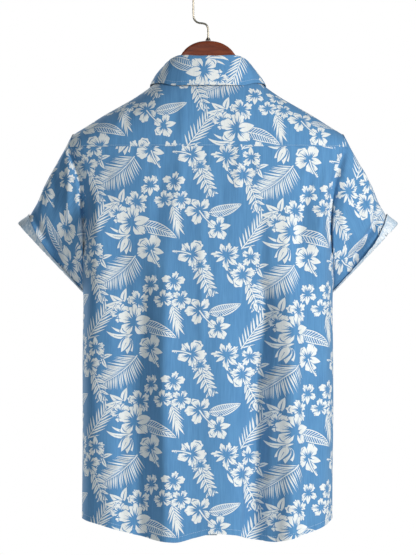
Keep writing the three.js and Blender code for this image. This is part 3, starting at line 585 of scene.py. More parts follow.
def make_collar():
    A = COLLAR_ANGLES
    a, side = np.abs(A), np.where(A < 0, -1.0, 1.0)
    get = [Curve(COLLAR[:, 0], COLLAR[:, k]) for k in range(1, 6)]
    stand, lean, x, y, z = [g(a) for g in get]
    base = neck_point(a)
    c = np.cos(a * rad)
    out = unit(np.stack([np.sin(a * rad) / NECK_HALF, c / np.where(c >= 0, NECK_BACK, NECK_FRONT), 0 * a], -1))
    up = np.array([0, 0, 1.0])
    top = base + out * lean[:, None] + up * (stand - ROLL)[:, None]
    on_back = np.maximum(z, shoulder(x, over_at(x, y), -4.0)[:, 2])
    ridge = ridge_at(x)
    over = 180 - np.arcsin(np.clip((z - CHEST_Z) / (ridge - CHEST_Z), 0, 1)) / rad
    on_front = shoulder(x, over, -4.0)
    back_part = a <= 90
    edge = np.stack([x, np.where(back_part, y, on_front[:, 1]), np.where(back_part, on_back, on_front[:, 2])], -1)
    start = top + out * (2 * ROLL)
    rows = []
    for t in np.linspace(0, 1, 14)[:-1]:
        rows.append(mix(base + up * 1.0, top, t))
    for f in np.linspace(180, 0, 13) * rad:
        rows.append(top + out * ROLL * (1 + math.cos(f)) + up * ROLL * math.sin(f))
    for t in np.linspace(0, 1, 40)[1:]:
        bulge = math.sin(math.pi * t)
        rows.append(mix(start, edge, t) + out * 2.2 * bulge + up * 1.2 * bulge)
    p = np.array(rows)
    p[..., 0] *= side
    mid = 13 + 13 + 20
    e = np.concatenate([[0], np.cumsum(np.linalg.norm(np.diff(p[mid], axis=0), axis=-1))])
    e = e - e[-1] / 2
    length = np.concatenate([np.zeros((1, len(A))), np.cumsum(np.linalg.norm(np.diff(p, axis=0), axis=-1), axis=0)])
    v = length[19] - length                              # row 19 is the top of the roll
    vs = np.linspace(-95, 60, 311)
    inv = np.array([np.interp(vs, v[::-1, i], np.arange(len(p))[::-1]) for i in range(len(A))]).T

    def where(ee, vv):
        fi = np.interp(ee, e, np.arange(len(A)))
        return fi, sample(inv, fi, (vv + 95) / 0.5)
    hint = np.broadcast_to(np.stack([side * out[:, 0], out[:, 1], out[:, 2] + 0.2], -1), p.shape).copy()
    hint[:13] *= -1
    panel = Panel(p, where, hint)
    panel.E, panel.V, panel.low, panel.high = np.broadcast_to(e, v.shape), v, v[-1], v[0]
    panel.e = e
    return panel


# ------------------------------------------------------------------ print
# One repeat of the print is charted: x to the right and y down, in units of
# PX millimetres. Each shape is a closed outline, white (1) or the ground's blue (0),
# and later ones lie on earlier ones.
TILE_W, TILE_H = 157.0, 99.0
shapes = []


def put(x, y, white):
    shapes.append((np.stack([x, y], -1), white))


def turned(cx, cy, ang, a, b):
    ca, sa = math.cos(ang * rad), math.sin(ang * rad)
    return cx + a * ca - b * sa, cy + a * sa + b * ca


def petal(cx, cy, ang, r, w, rng, ruffle=0.08, lobes=5, kind="full", halo=0.6, start=0.07, vein=1.0):
    """One petal from a flower's middle outwards, with the streaks that run up it."""
    if kind == "drop":
        leaflet(*turned(cx, cy, ang, start * r, 0), ang, r * (1 - start) + halo, w * 0.72 + halo, 0.0, 0, 10)
        leaflet(*turned(cx, cy, ang, start * r, 0), ang, r * (1 - start), w * 0.72, 0.0, 1, 10)
        put(*turned(cx, cy, ang, np.array([0.12 * r, 0.55 * r, 0.12 * r]), np.array([-0.45, 0.0, 0.45])), 0)
        return
    f = np.linspace(-150, 150, 31) * rad
    R = 1 / np.sqrt((np.cos(f) / (0.42 * r)) ** 2 + (np.sin(f) / w) ** 2)
    deep = ruffle * (1.7 if kind == "streaked" else 1.0)
    R = R * (1 + deep * np.cos(lobes * f + rng.uniform(-0.9, 0.9)) * smooth((2.0 - np.abs(f)) / 0.8))
    R = R * (1 - 0.16 * smooth((np.abs(f) - 1.7) / 0.8))
    mid = 0.58 * r
    lean = rng.uniform(-0.22, 0.22)
    for grow, white in ((halo, 0), (0.0, 1)):
        a = np.append(mid + (R + grow) * np.cos(f), start * r - grow)
        b = np.append((R + grow) * np.sin(f), 0)
        b = b * (0.80 + 0.30 * smooth(a / r)) + lean * a * a / r
        put(*turned(cx, cy, ang, a, b), white)
    count = 4
    for k in range(count):
        off = k - (count - 1) / 2
        d = off * (w / r) * 27 + rng.uniform(-2, 2)
        far = r * ((0.90 if kind == "streaked" else 0.80) - 0.06 * abs(off)) * rng.uniform(0.70, 1.10)
        vw = (0.030 * r + 0.27) * vein
        va = np.array([0.12 * r, 0.6 * far, far, 0.6 * far, 0.12 * r])
        put(*turned(cx, cy, ang + d, va, np.array([-vw, -0.6 * vw, 0.0, 0.6 * vw, vw]) + lean * va * va / r), 0)
    if kind != "folded":
        # the edge opens between the streaks
        for k in range(2):
            d = (k - 0.5) * (w / r) * 36 + rng.uniform(-6, 6)
            va = np.array([0.72 if kind == "streaked" else rng.uniform(0.76, 0.88), 1.16, 1.16]) * r
            put(*turned(cx, cy, ang + d, va, np.array([0.0, 0.055, -0.055]) * r + lean * va * va / r), 0)
    if kind == "folded":
        # the far edge of the petal curls over, with a line under the curl
        g = np.linspace(-0.75, 0.75, 9)
        a = np.concatenate([mid + 0.30 * r * np.cos(g), (mid + 0.24 * r * np.cos(g))[::-1]])
        b = np.concatenate([0.86 * w * np.sin(g), (0.86 * w * np.sin(g))[::-1]]) + lean * a * a / r
        put(*turned(cx, cy, ang, a, b), 0)


def disc(cx, cy, r, white, n=8, wave=0.0):
    f = np.linspace(0, 2 * np.pi, n + 1)[:-1]
    q = r * (1 + wave * np.cos(f * n / 2))
    put(cx + q * np.cos(f), cy + q * np.sin(f), white)


KINDS = {"f": "full", "s": "streaked", "d": "drop", "c": "folded"}


def hibiscus(cx, cy, r, turn, seed, kinds="fsfcf", sizes=(1, 1, 1, 1, 1), stamen=None, reach=1.15, full=0.36,
             ruffle=0.09, vein=1.0):
    rng = np.random.default_rng(seed)
    for k in (0, 2, 4, 1, 3):
        rr = r * sizes[k]
        petal(cx, cy, turn + 72 * k + rng.uniform(-6, 6), rr, rr * full * rng.uniform(0.84, 1.04), rng,
              ruffle, lobes=int(rng.integers(5, 9)), kind=KINDS[kinds[k]], vein=vein)
    disc(cx, cy, 0.21 * r, 0, 10, 0.35)
    if stamen is not None:
        far = r * reach
        t = np.linspace(0, 1, 7)
        bend = 0.07 * r * np.sin(np.pi * t)
        for w0, white in ((1.45, 0), (0.68, 1)):
            w = w0 * (1 - 0.25 * t)
            a = np.concatenate([far * t, (far * t)[::-1]])
            b = np.concatenate([bend - w, (bend + w)[::-1]])
            put(*turned(cx, cy, stamen, a, b), white)
        for k in range(5):
            x, y = turned(cx, cy, stamen, far * (0.82 + 0.05 * k), (1.0 if k % 2 else -1.0) * (1 - 0.08 * k))
            disc(x, y, 0.5, 1, 6)
        disc(*turned(cx, cy, stamen, far * 1.03, 0.0), 0.9, 1, 7)


def star(cx, cy, r, angles, seed, wide=0.2, sizes=None):
    """Pointed petals, each with a line down its middle."""
    rng = np.random.default_rng(seed)
    for k, ang in enumerate(angles):
        L = r * (sizes[k] if sizes else rng.uniform(0.88, 1.06))
        t = np.linspace(0, 1, 10)
        w = r * wide * np.sin(np.pi * np.clip(t, 0, 1) ** 0.75) ** 0.85
        w[0] = 0.04 * r
        bend = 0.06 * L * np.sin(np.pi * t) * rng.choice([-1, 1])
        for grow, white in ((0.55, 0), (0.0, 1)):
            a = np.concatenate([L * t[:-1], [L + grow], (L * t[:-1])[::-1]])
            b = np.concatenate([(bend - w - grow)[:-1], [bend[-1]], (bend + w + grow)[:-1][::-1]])
            put(*turned(cx, cy, ang, a, b), white)
        vw = 0.03 * r + 0.1
        m = np.array([0.16, 0.45, 0.78]) * L
        bm = np.interp(m / L, t, bend)
        put(*turned(cx, cy, ang, np.array([m[0], m[1], m[2], m[1], m[0]]),
                    np.array([bm[0] - vw, bm[1] - vw * 0.8, bm[2], bm[1] + vw * 0.8, bm[0] + vw])), 0)
    disc(cx, cy, 0.1 * r, 0, 8, 0.2)


def fringed(cx, cy, r, turn, seed, petals=5, kinds="sfsds"):
    """A small flower with notched petals and rays round its middle."""
    rng = np.random.default_rng(seed)
    for k in range(petals):
        ang = turn + 360 / petals * k + rng.uniform(-7, 7)
        rr = r * rng.uniform(0.84, 1.06)
        petal(cx, cy, ang, rr, rr * 1.62 / petals * rng.uniform(0.92, 1.08), rng, ruffle=0.10, lobes=7,
              kind=KINDS[kinds[k % len(kinds)]], halo=0.55, vein=0.9)
    rays = 2 * petals + 1
    for k in range(rays):
        ang = turn + 360 / rays * k + rng.uniform(-5, 5)
        L = r * rng.uniform(0.38, 0.58)
        put(*turned(cx, cy, ang, np.array([0.1 * r, L, 0.1 * r]), np.array([-0.45, 0, 0.45])), 0)
    disc(cx, cy, 0.19 * r, 0, 9, 0.25)


def leaflet(x, y, ang, L, w, bend=0.0, white=1, n=6):
    t = np.linspace(0, 1, n)
    ww = w * np.sin(np.pi * t ** 0.7) ** 0.8
    bb = bend * L * t ** 2
    a = np.concatenate([L * t, (L * t[1:-1])[::-1]])
    b = np.concatenate([bb - ww, (bb + ww)[1:-1][::-1]])
    b[0], b[n - 1] = bb[0], bb[-1]
    put(*turned(x, y, ang, a, b), white)


def rib(p0, p1, bend, n=12):
    """Points and directions along a leaf's curved midrib."""
    p0, p1 = np.array(p0, float), np.array(p1, float)
    d = p1 - p0
    side = np.array([-d[1], d[0]])
    t = np.linspace(0, 1, n)
    p = p0 + d * t[:, None] + side * (bend * 4 * t * (1 - t))[:, None]
    g = np.gradient(p, axis=0)
    return t, p, np.arctan2(g[:, 1], g[:, 0]) / rad


def line(p, w0, w1, white=1):
    g = unit(np.gradient(p, axis=0))
    n = np.stack([-g[:, 1], g[:, 0]], -1)
    w = np.linspace(w0, w1, len(p))[:, None]
    q = np.concatenate([p - n * w, (p + n * w)[::-1]])
    put(q[:, 0], q[:, 1], white)


def frond(p0, p1, bend, count, long_a, long_b, open_a, open_b, wide, seed, droop=0.12, short=0.45, close=0.55):
    """A palm leaf: side a of its rib, then side b, each with its leaflets' length and slant."""
    rng = np.random.default_rng(seed)
    t, p, ang = rib(p0, p1, bend, 40)
    for k in range(count):
        s = 0.03 + 0.95 * k / (count - 1)
        x, y, g = np.interp(s, t, p[:, 0]), np.interp(s, t, p[:, 1]), np.interp(s, t, ang)
        size = (0.72 + 0.28 * math.sin(math.pi * min(1, s * 1.9 + 0.1) * 0.5)) * (1 - short * s ** 1.5)
        for side, L, op in ((-1, long_a, open_a), (1, long_b, open_b)):
            leaflet(x, y, g + side * mix(op, op * close, s) + rng.uniform(-4, 4), L * size * rng.uniform(0.84, 1.06),
                    wide * rng.uniform(0.85, 1.12), droop * side)
    line(p[::3], 0.55, 0.3)


def fern(p0, p1, bend, pairs, long, wide, seed, open_=50):
    rng = np.random.default_rng(seed)
    t, p, ang = rib(p0, p1, bend, 40)
    for k in range(pairs):
        s = 0.04 + 0.86 * k / (pairs - 1)
        x, y, g = np.interp(s, t, p[:, 0]), np.interp(s, t, p[:, 1]), np.interp(s, t, ang)
        size = (1 - 0.42 * s) * (1 if k else 0.85)
        for side in (-1, 1):
            a = g + side * open_ + rng.uniform(-4, 4)
            L = long * size * rng.uniform(0.9, 1.1)
            leaflet(x, y, a, L + 0.4, wide * size + 0.5, 0.05 * side, 0, 8)
            leaflet(x, y, a, L, wide * size, 0.05 * side, 1, 8)
            put(*turned(x, y, a, np.array([0.12 * L, 0.8 * L, 0.12 * L]), np.array([-0.36, 0.0, 0.36])), 0)
    leaflet(p[-4, 0], p[-4, 1], ang[-4], long * 0.5, wide * 0.55, 0, 1, 8)
    line(p[::4], 0.45, 0.3)


def banana(p0, p1, bend, wide, stripes, seed):
    """A broad leaf with an outline and slanting stripes."""
    rng = np.random.default_rng(seed)
    t, p, ang = rib(p0, p1, bend, 60)
    g = unit(np.gradient(p, axis=0))
    n = np.stack([-g[:, 1], g[:, 0]], -1)
    prof = np.sin(np.pi * np.clip(t, 0, 1) ** 0.72) ** 0.75
    keep = slice(0, 60, 4)
    for grow, white in ((0.55, 0), (0.0, 1), (-0.85, 0)):
        w = np.maximum(wide * prof + grow, 0.15)[:, None]
        a, b = (p - n * w)[keep], (p + n * w)[keep]
        q = np.concatenate([a, [p[-1] + g[-1] * max(grow, -0.4)], b[::-1]])
        put(q[:, 0], q[:, 1], white)
    for k in range(stripes):
        s = 0.06 + 0.8 * k / stripes
        for side in (-1, 1):
            x0, y0 = np.interp(s, t, p[:, 0]), np.interp(s, t, p[:, 1])
            s1 = min(s + 0.13, 0.985)
            w = wide * np.interp(s1, t, prof) * 0.97
            m = np.array([np.interp(s1, t, p[:, 0]), np.interp(s1, t, p[:, 1])])
            nn = np.array([np.interp(s1, t, n[:, 0]), np.interp(s1, t, n[:, 1])])
            q = m + side * nn * w
            d = unit((q - [x0, y0])[None])[0] * 1.0
            o = np.array([-d[1], d[0]]) * 0.36
            if math.hypot(q[0] - x0, q[1] - y0) > 1.2:
                put(np.array([x0 - o[0], q[0] - o[0], q[0] + o[0], x0 + o[0]]),
                    np.array([y0 - o[1], q[1] - o[1], q[1] + o[1], y0 + o[1]]), 1)
    line(p[::5], 0.5, 0.3)


def bud(cx, cy, ang, r, seed):
    """A tulip-like bud of narrow petals."""
    rng = np.random.default_rng(seed)
    for d, L in ((-24, 0.9), (24, 0.92), (-9, 1.02), (9, 1.0)):
        a0 = ang + d
        leaflet(cx, cy, a0, (r + 0.6) * L, 0.26 * r + 0.45, 0.004 * d, 0, 8)
        leaflet(cx, cy, a0, r * L, 0.2 * r, 0.004 * d, 1, 8)
        put(*turned(cx, cy, a0, np.array([0.35 * r, 0.85 * r * L, 0.35 * r]), np.array([-0.3, 0, 0.3])), 0)


def leaf(p0, p1, bend, wide, veined=True):
    t, p, ang = rib(p0, p1, bend, 24)
    g = unit(np.gradient(p, axis=0))
    n = np.stack([-g[:, 1], g[:, 0]], -1)
    prof = np.sin(np.pi * t ** 0.8) ** 0.8
    for grow, white in ((0.5, 0), (0.0, 1)):
        w = np.maximum(wide * prof + grow, 0.12)[:, None]
        q = np.concatenate([(p - n * w)[::3], [p[-1]], (p + n * w)[::3][::-1]])
        put(q[:, 0], q[:, 1], white)
    if veined:
        line(p[4:19:3], 0.38, 0.2, 0)


def chart():
    # palm frond with a long-stamened hibiscus at its foot
    frond((35.5, -8.2), (1.0, 19.0), -0.07, 23, 22.0, 24.0, 64, 54, 0.53, 3, 0.05, 0.6, 0.84)
    hibiscus(52.0, 85.0, 15.2, -128, 11, "cfdsf", (1.0, 0.98, 0.88, 0.9, 0.98), 63, 1.2, 0.40)
    # four small flowers and a hanging frond
    frond((73.4, 39.5), (78.6, 61.5), 0.02, 8, 14.0, 16.0, 40, 26, 0.72, 5, 0.04, 0.1, 0.35)
    fringed(51.5, 21.0, 11.0, 90, 21, 5, "dsssf")
    fringed(65.0, 35.0, 10.2, 40, 22, 5, "sfsfs")
    fringed(82.0, 35.0, 10.4, 10, 23, 5, "fsfss")
    fringed(74.8, 17.2, 11.0, 62, 24, 5, "fsfsf")
    # the largest group
    banana((38, 60.5), (77.5, 73.5), -0.07, 6.4, 12, 31)
    leaf((31, 70), (4.5, 67.0), -0.14, 2.3)
    leaf((24, 68), (10, 62.5), -0.08, 1.2, False)
    bud(27, 73, 106, 16.5, 33)
    star(21.5, 38.5, 16.5, (-76, -150, 172, 118), 34, 0.19, (0.9, 0.95, 1.15, 0.6))
    hibiscus(37.5, 37.0, 12.2, -100, 35, "fssfc", (0.9, 0.92, 1.0, 0.85, 0.95), None, 1, 0.36, 0.12)
    fringed(18.5, 49.5, 10.0, 30, 36, 5, "sfssf")
    hibiscus(33.0, 57.5, 16.8, -84, 37, "sdfcf", (0.98, 1.05, 0.95, 1.0, 1.0), None, 1, 0.38, 0.10)
    # a pair with a striped leaf
    banana((109, 48), (141, 39.5), 0.05, 5.8, 13, 41)
    hibiscus(118.5, 63.0, 12.8, -82, 43, "fdfcf", (0.92, 0.95, 0.95, 1.0, 0.9), None, 1, 0.37, 0.10)
    hibiscus(99.5, 46.0, 14.0, -112, 42, "cffff", (0.88, 0.95, 0.85, 1.0, 1.0), 48, 1.45, 0.34, 0.09)
    # a star flower, a hibiscus and a fern hanging from them
    fern((147.0, 19), (157, 45), -0.06, 5, 13.0, 2.1, 51, 44)
    bud(154.5, 39, 68, 9.0, 54)
    leaf((136, 17), (124.5, 3.0), 0.10, 2.0)
    leaf((134, 20), (127, 9.5), -0.10, 1.4, False)
    star(157.0, 4.0, 11.5, (-18, 62, -78, 120), 52, 0.17)
    hibiscus(142.5, 10.5, 13.0, -92, 53, "ffscs", (0.9, 0.95, 0.98, 1.08, 0.9), None, 1, 0.35, 0.12)
    # a hibiscus whose stamen points left, with a fern
    fern((101, 97), (111.0, 128), 0.05, 6, 14.0, 2.2, 61, 44)
    bud(109.5, 123, 72, 9.0, 64)
    fringed(100.5, 101.0, 9.0, 20, 63, 5, "sdsfs")
    hibiscus(91.5, 89.5, 14.4, -62, 62, "cfsfs", (1.08, 1.0, 0.86, 0.92, 0.9), 190, 1.2, 0.37)
    # an open frond over two small flowers
    frond((141.0, 84.5), (161.6, 55), 0.02, 9, 16.0, 20.0, 50, 34, 0.74, 71, 0.03, 0.3, 0.6)
    fringed(150.5, 91.5, 10.4, -20, 72, 5, "sfssd")
    fringed(126.0, 90.5, 13.6, 12, 73, 8, "sfsdsfss")


chart()
STEP = 9.3                        # each column of repeats lies this much lower than the last


def print_shapes(place, box):
    """All shapes of the print that meet a box of (e, v), in millimetres, later ones on top.
    place turns chart numbers into (e, v)."""
    out, near = [], []
    (e0, e1), (v0, v1) = box
    cx, cy = np.array([-20, 185, 185, -20.0]), np.array([-40, -40, 145, 145.0])
    for j in range(-8, 9):
        for i in range(-4, 5):
            e, v = place(cx + i * TILE_W, cy + j * TILE_H + i * STEP)
            if not (e.max() < e0 or e.min() > e1 or v.max() < v0 or v.min() > v1):
                near.append((i, j))
    for pts, white in shapes:
        for i, j in near:
            e, v = place(pts[:, 0] + i * TILE_W, pts[:, 1] + j * TILE_H + i * STEP)
            if e.max() < e0 or e.min() > e1 or v.max() < v0 or v.min() > v1:
                continue
            out.append((e, v, white))
    return out


def laid(e0, v0, x0=0.0, y0=0.0, across=1.0, angle=0.0):
    """Lays the chart on a flat piece: chart place (x0, y0) comes to (e0, v0)."""
    ca, sa = math.cos(angle * rad), math.sin(angle * rad)

    def place(x, y):
        a, b = (x - x0) * PX * across, -(y - y0) * PX
        return e0 + a * ca - b * sa, v0 + a * sa + b * ca
    return place


# ------------------------------------------------------------------ cloth
def area2(e, v):
    return float(np.sum(e * np.roll(v, -1) - np.roll(e, -1) * v))


def new_mesh(name, co, faces, mats, mat_index=None, uvs=None, normals=None, smooth_=True):
    """A mesh from arrays; faces is a list of arrays, each with rows of equal length."""
    me = bpy.data.meshes.new(name)
    me.vertices.add(len(co))
    me.vertices.foreach_set("co", (np.asarray(co, float) * MM).ravel())
    flat = np.concatenate([f.ravel() for f in faces]).astype(np.int32)
    sizes = np.concatenate([np.full(len(f), f.shape[1]) for f in faces]).astype(np.int32)
    me.loops.add(len(flat))
    me.loops.foreach_set("vertex_index", flat)
    me.polygons.add(len(sizes))
    me.polygons.foreach_set("loop_start", np.concatenate([[0], np.cumsum(sizes)[:-1]]).astype(np.int32))
    me.polygons.foreach_set("loop_total", sizes)
    if mat_index is not None:
        me.polygons.foreach_set("material_index", np.asarray(mat_index, np.int32))
    me.polygons.foreach_set("use_smooth", np.full(len(sizes), smooth_))
    for m in mats:
        me.materials.append(m)
    for key, uv in (uvs or {}).items():
        layer = me.uv_layers.new(name=key)
        layer.data.foreach_set("uv", np.asarray(uv, np.float32).ravel())
    me.update(calc_edges=True)
    me.validate()
    if normals is not None:
        me.normals_split_custom_set_from_vertices([tuple(n) for n in normals])
    o = bpy.data.objects.new(name, me)
    bpy.context.scene.collection.objects.link(o)
    return o


def print_edges(flat, tris, cols, near):
    """The edges between white and blue of a flat piece cut along all its shapes, with
    the points left out that lie within near of a straight edge."""
    edges = np.concatenate([tris[:, [0, 1]], tris[:, [1, 2]], tris[:, [2, 0]]])
    owner = np.tile(np.arange(len(tris)), 3)
    key = np.sort(edges, axis=1)
    order = np.lexsort((key[:, 1], key[:, 0]))
    key, col = key[order], cols[owner[order]]
    same = np.all(key[1:] == key[:-1], axis=1)
    kept = key[:-1][same & (col[1:] != col[:-1])]
    rim = set(key[np.concatenate([[True], ~same]) & np.concatenate([~same, [True]])].ravel().tolist())
    links = {}
    for a, b in kept.tolist():
        links.setdefault(a, set()).add(b)
        links.setdefault(b, set()).add(a)
    at = flat.tolist()
    for p in sorted(links):
        if len(links[p]) != 2 or p in rim:
            continue
        a, b = links[p]
        if b in links[a]:
            continue
        (ax, ay), (bx, by), (px, py) = at[a], at[b], at[p]
        dx, dy = bx - ax, by - ay
        long = math.hypot(dx, dy)
        if long < 1e-6 or abs(dx * (py - ay) - dy * (px - ax)) / long > near * min(1.0, 0.4 + long / 4.0):
            continue
        links[a].discard(p)
        links[b].discard(p)
        links[a].add(b)
        links[b].add(a)
        del links[p]
    return [(a, b) for a in links for b in links[a] if a < b]


def cloth(name, panel, outline, place, mats, step=(6.0, 8.0), wall=WALL, thick=None):
    """A printed piece of cloth: the flat piece is cut into triangles along the edges of
    its print, each is white or blue, and the whole is laid on the panel's form."""
    outline = np.asarray(outline, float)
    keep = np.linalg.norm(np.roll(outline, -1, axis=0) - outline, axis=1) > 0.02
    outline = outline[keep]
    if area2(outline[:, 0], outline[:, 1]) < 0:
        outline = outline[::-1]
    (e0, v0), (e1, v1) = outline.min(0), outline.max(0)
    verts = [Vector((a, b)) for a, b in outline]
    faces = [list(range(len(outline)))]
    white_of = [0]
    for e, v, white in print_shapes(place, ((e0, e1), (v0, v1))):
        if area2(e, v) < 0:
            e, v = e[::-1], v[::-1]
        n = len(verts)
        verts += [Vector((a, b)) for a, b in zip(e, v)]
        faces.append(list(range(n, n + len(e))))
        white_of.append(white)
    co, _, tri, _, _, ids = delaunay_2d_cdt(verts, [], faces, 1, 1e-3, True)
    tris, cols = [], []
    for f, owners in zip(tri, ids):
        if 0 in owners and len(f) == 3:
            tris.append(f)
            cols.append(white_of[max(owners)])
    tris, cols = np.array(tris, int), np.array(cols, int)
    flat = np.array([(c.x, c.y) for c in co])
    # only the edges between white and blue stay, and the piece is cut again along them
    whole = BVHTree.FromPolygons([(x, y, 0.0) for x, y in flat.tolist()], tris.tolist(), all_triangles=True)
    lines = print_edges(flat, tris, cols, 0.10)
    points = sorted({p for pair in lines for p in pair})
    n = len(outline)
    again = {p: n + i for i, p in enumerate(points)}
    verts = [Vector((a, b)) for a, b in outline] + [Vector(flat[p]) for p in points]
    k = 0
    y = v0 + step[1] / 2
    while y < v1:
        xs = np.arange(e0 + step[0] * (0.25 if k % 2 else 0.75), e1, step[0])
        verts += [Vector((float(x), float(y))) for x in xs]
        y += step[1]
        k += 1
    co, _, tri, _, _, ids = delaunay_2d_cdt(verts, [(again[a], again[b]) for a, b in lines], [list(range(n))], 0, 1e-3, True)
    flat_colour = cols
    flat = np.array([(c.x, c.y) for c in co])
    tris = np.array([f for f, owners in zip(tri, ids) if 0 in owners and len(f) == 3], int)
    mid = flat[tris].mean(1)
    cols = np.array([flat_colour[whole.find_nearest((x, y, 0.0))[2]] for x, y in mid.tolist()], int)
    used = np.unique(tris)
    again = np.full(len(flat), -1)
    again[used] = np.arange(len(used))
    tris, flat = again[tris], flat[used]
    a, b, c = flat[tris[:, 0]], flat[tris[:, 1]], flat[tris[:, 2]]
    turn = (b[:, 0] - a[:, 0]) * (c[:, 1] - a[:, 1]) - (b[:, 1] - a[:, 1]) * (c[:, 0] - a[:, 0])
    tris = np.where((turn < 0)[:, None], tris[:, ::-1], tris)
    ok = np.abs(turn) > 1e-7
    tris, cols = tris[ok], cols[ok]
    centre, normal = panel.at(flat[:, 0], flat[:, 1])
    # outward is the side that the panel's normals are on
    p0, p1, p2 = centre[tris[:, 0]], centre[tris[:, 1]], centre[tris[:, 2]]
    face_n = np.cross(p1 - p0, p2 - p0)
    if np.sum(face_n * normal[tris[:, 0]]) < 0:
        tris = tris[:, ::-1]
    N = len(flat)
    more = 0 if thick is None else thick(flat[:, 0], flat[:, 1])[:, None]
    co3 = np.concatenate([centre + normal * wall / 2, centre - normal * (wall / 2 + more)])
    edges = np.concatenate([tris[:, [0, 1]], tris[:, [1, 2]], tris[:, [2, 0]]])
    owner = np.tile(np.arange(len(tris)), 3)
    key = np.sort(edges, axis=1)
    _, first, count = np.unique(key, axis=0, return_index=True, return_counts=True)
    rim = edges[first[count == 1]]
    rim_owner = owner[first[count == 1]]
    quads = np.stack([rim[:, 1], rim[:, 0], rim[:, 0] + N, rim[:, 1] + N], -1)
    inner = tris[:, ::-1] + N
    size = np.array([max(e1 - e0, 1), max(v1 - v0, 1)])
    box = (flat - [e0, v0]) / size
    outer_uv = box * [0.488, 0.98] + [0.004, 0.004]
    inner_uv = box * [0.488, 0.98] + [0.508, 0.004]
    both = np.concatenate([outer_uv, inner_uv])
    r = np.arange(len(rim)) / max(len(rim), 1)
    w = 1.0 / max(len(rim), 1)
    rim_uv = np.stack([np.stack([r + w, 0 * r + 0.9985], -1), np.stack([r, 0 * r + 0.9985], -1),
                       np.stack([r, 0 * r + 0.99], -1), np.stack([r + w, 0 * r + 0.99], -1)], 1)
    fine = np.concatenate([flat, flat]) * MM
    uv_c = np.concatenate([fine[tris].reshape(-1, 2), fine[inner].reshape(-1, 2), fine[quads].reshape(-1, 2)])
    uv_b = np.concatenate([both[tris].reshape(-1, 2), both[inner].reshape(-1, 2), rim_uv.reshape(-1, 2)])
    index = np.concatenate([cols, cols + 2, cols[rim_owner]])
    o = new_mesh(name, co3, [tris, inner, quads], mats, index, {"Cloth": uv_c, "OFBake": uv_b},
                 np.concatenate([normal, -normal]))
    print(name, len(tris) * 2 + len(quads) * 2, "triangles")
    return o


# ------------------------------------------------------------------ materials
def nodes_of(name):
    m = bpy.data.materials.new(name)
    m.use_nodes = True
    nt = m.node_tree
    return m, nt, nt.nodes["Principled BSDF"]


def link(nt, a, b):
    nt.links.new(a, b)


def add_node(nt, kind, **values):
    n = nt.nodes.new(kind)
    for key, val in values.items():
        if key in n.inputs:
            n.inputs[key].default_value = val
        else:
            setattr(n, key, val)
    return n


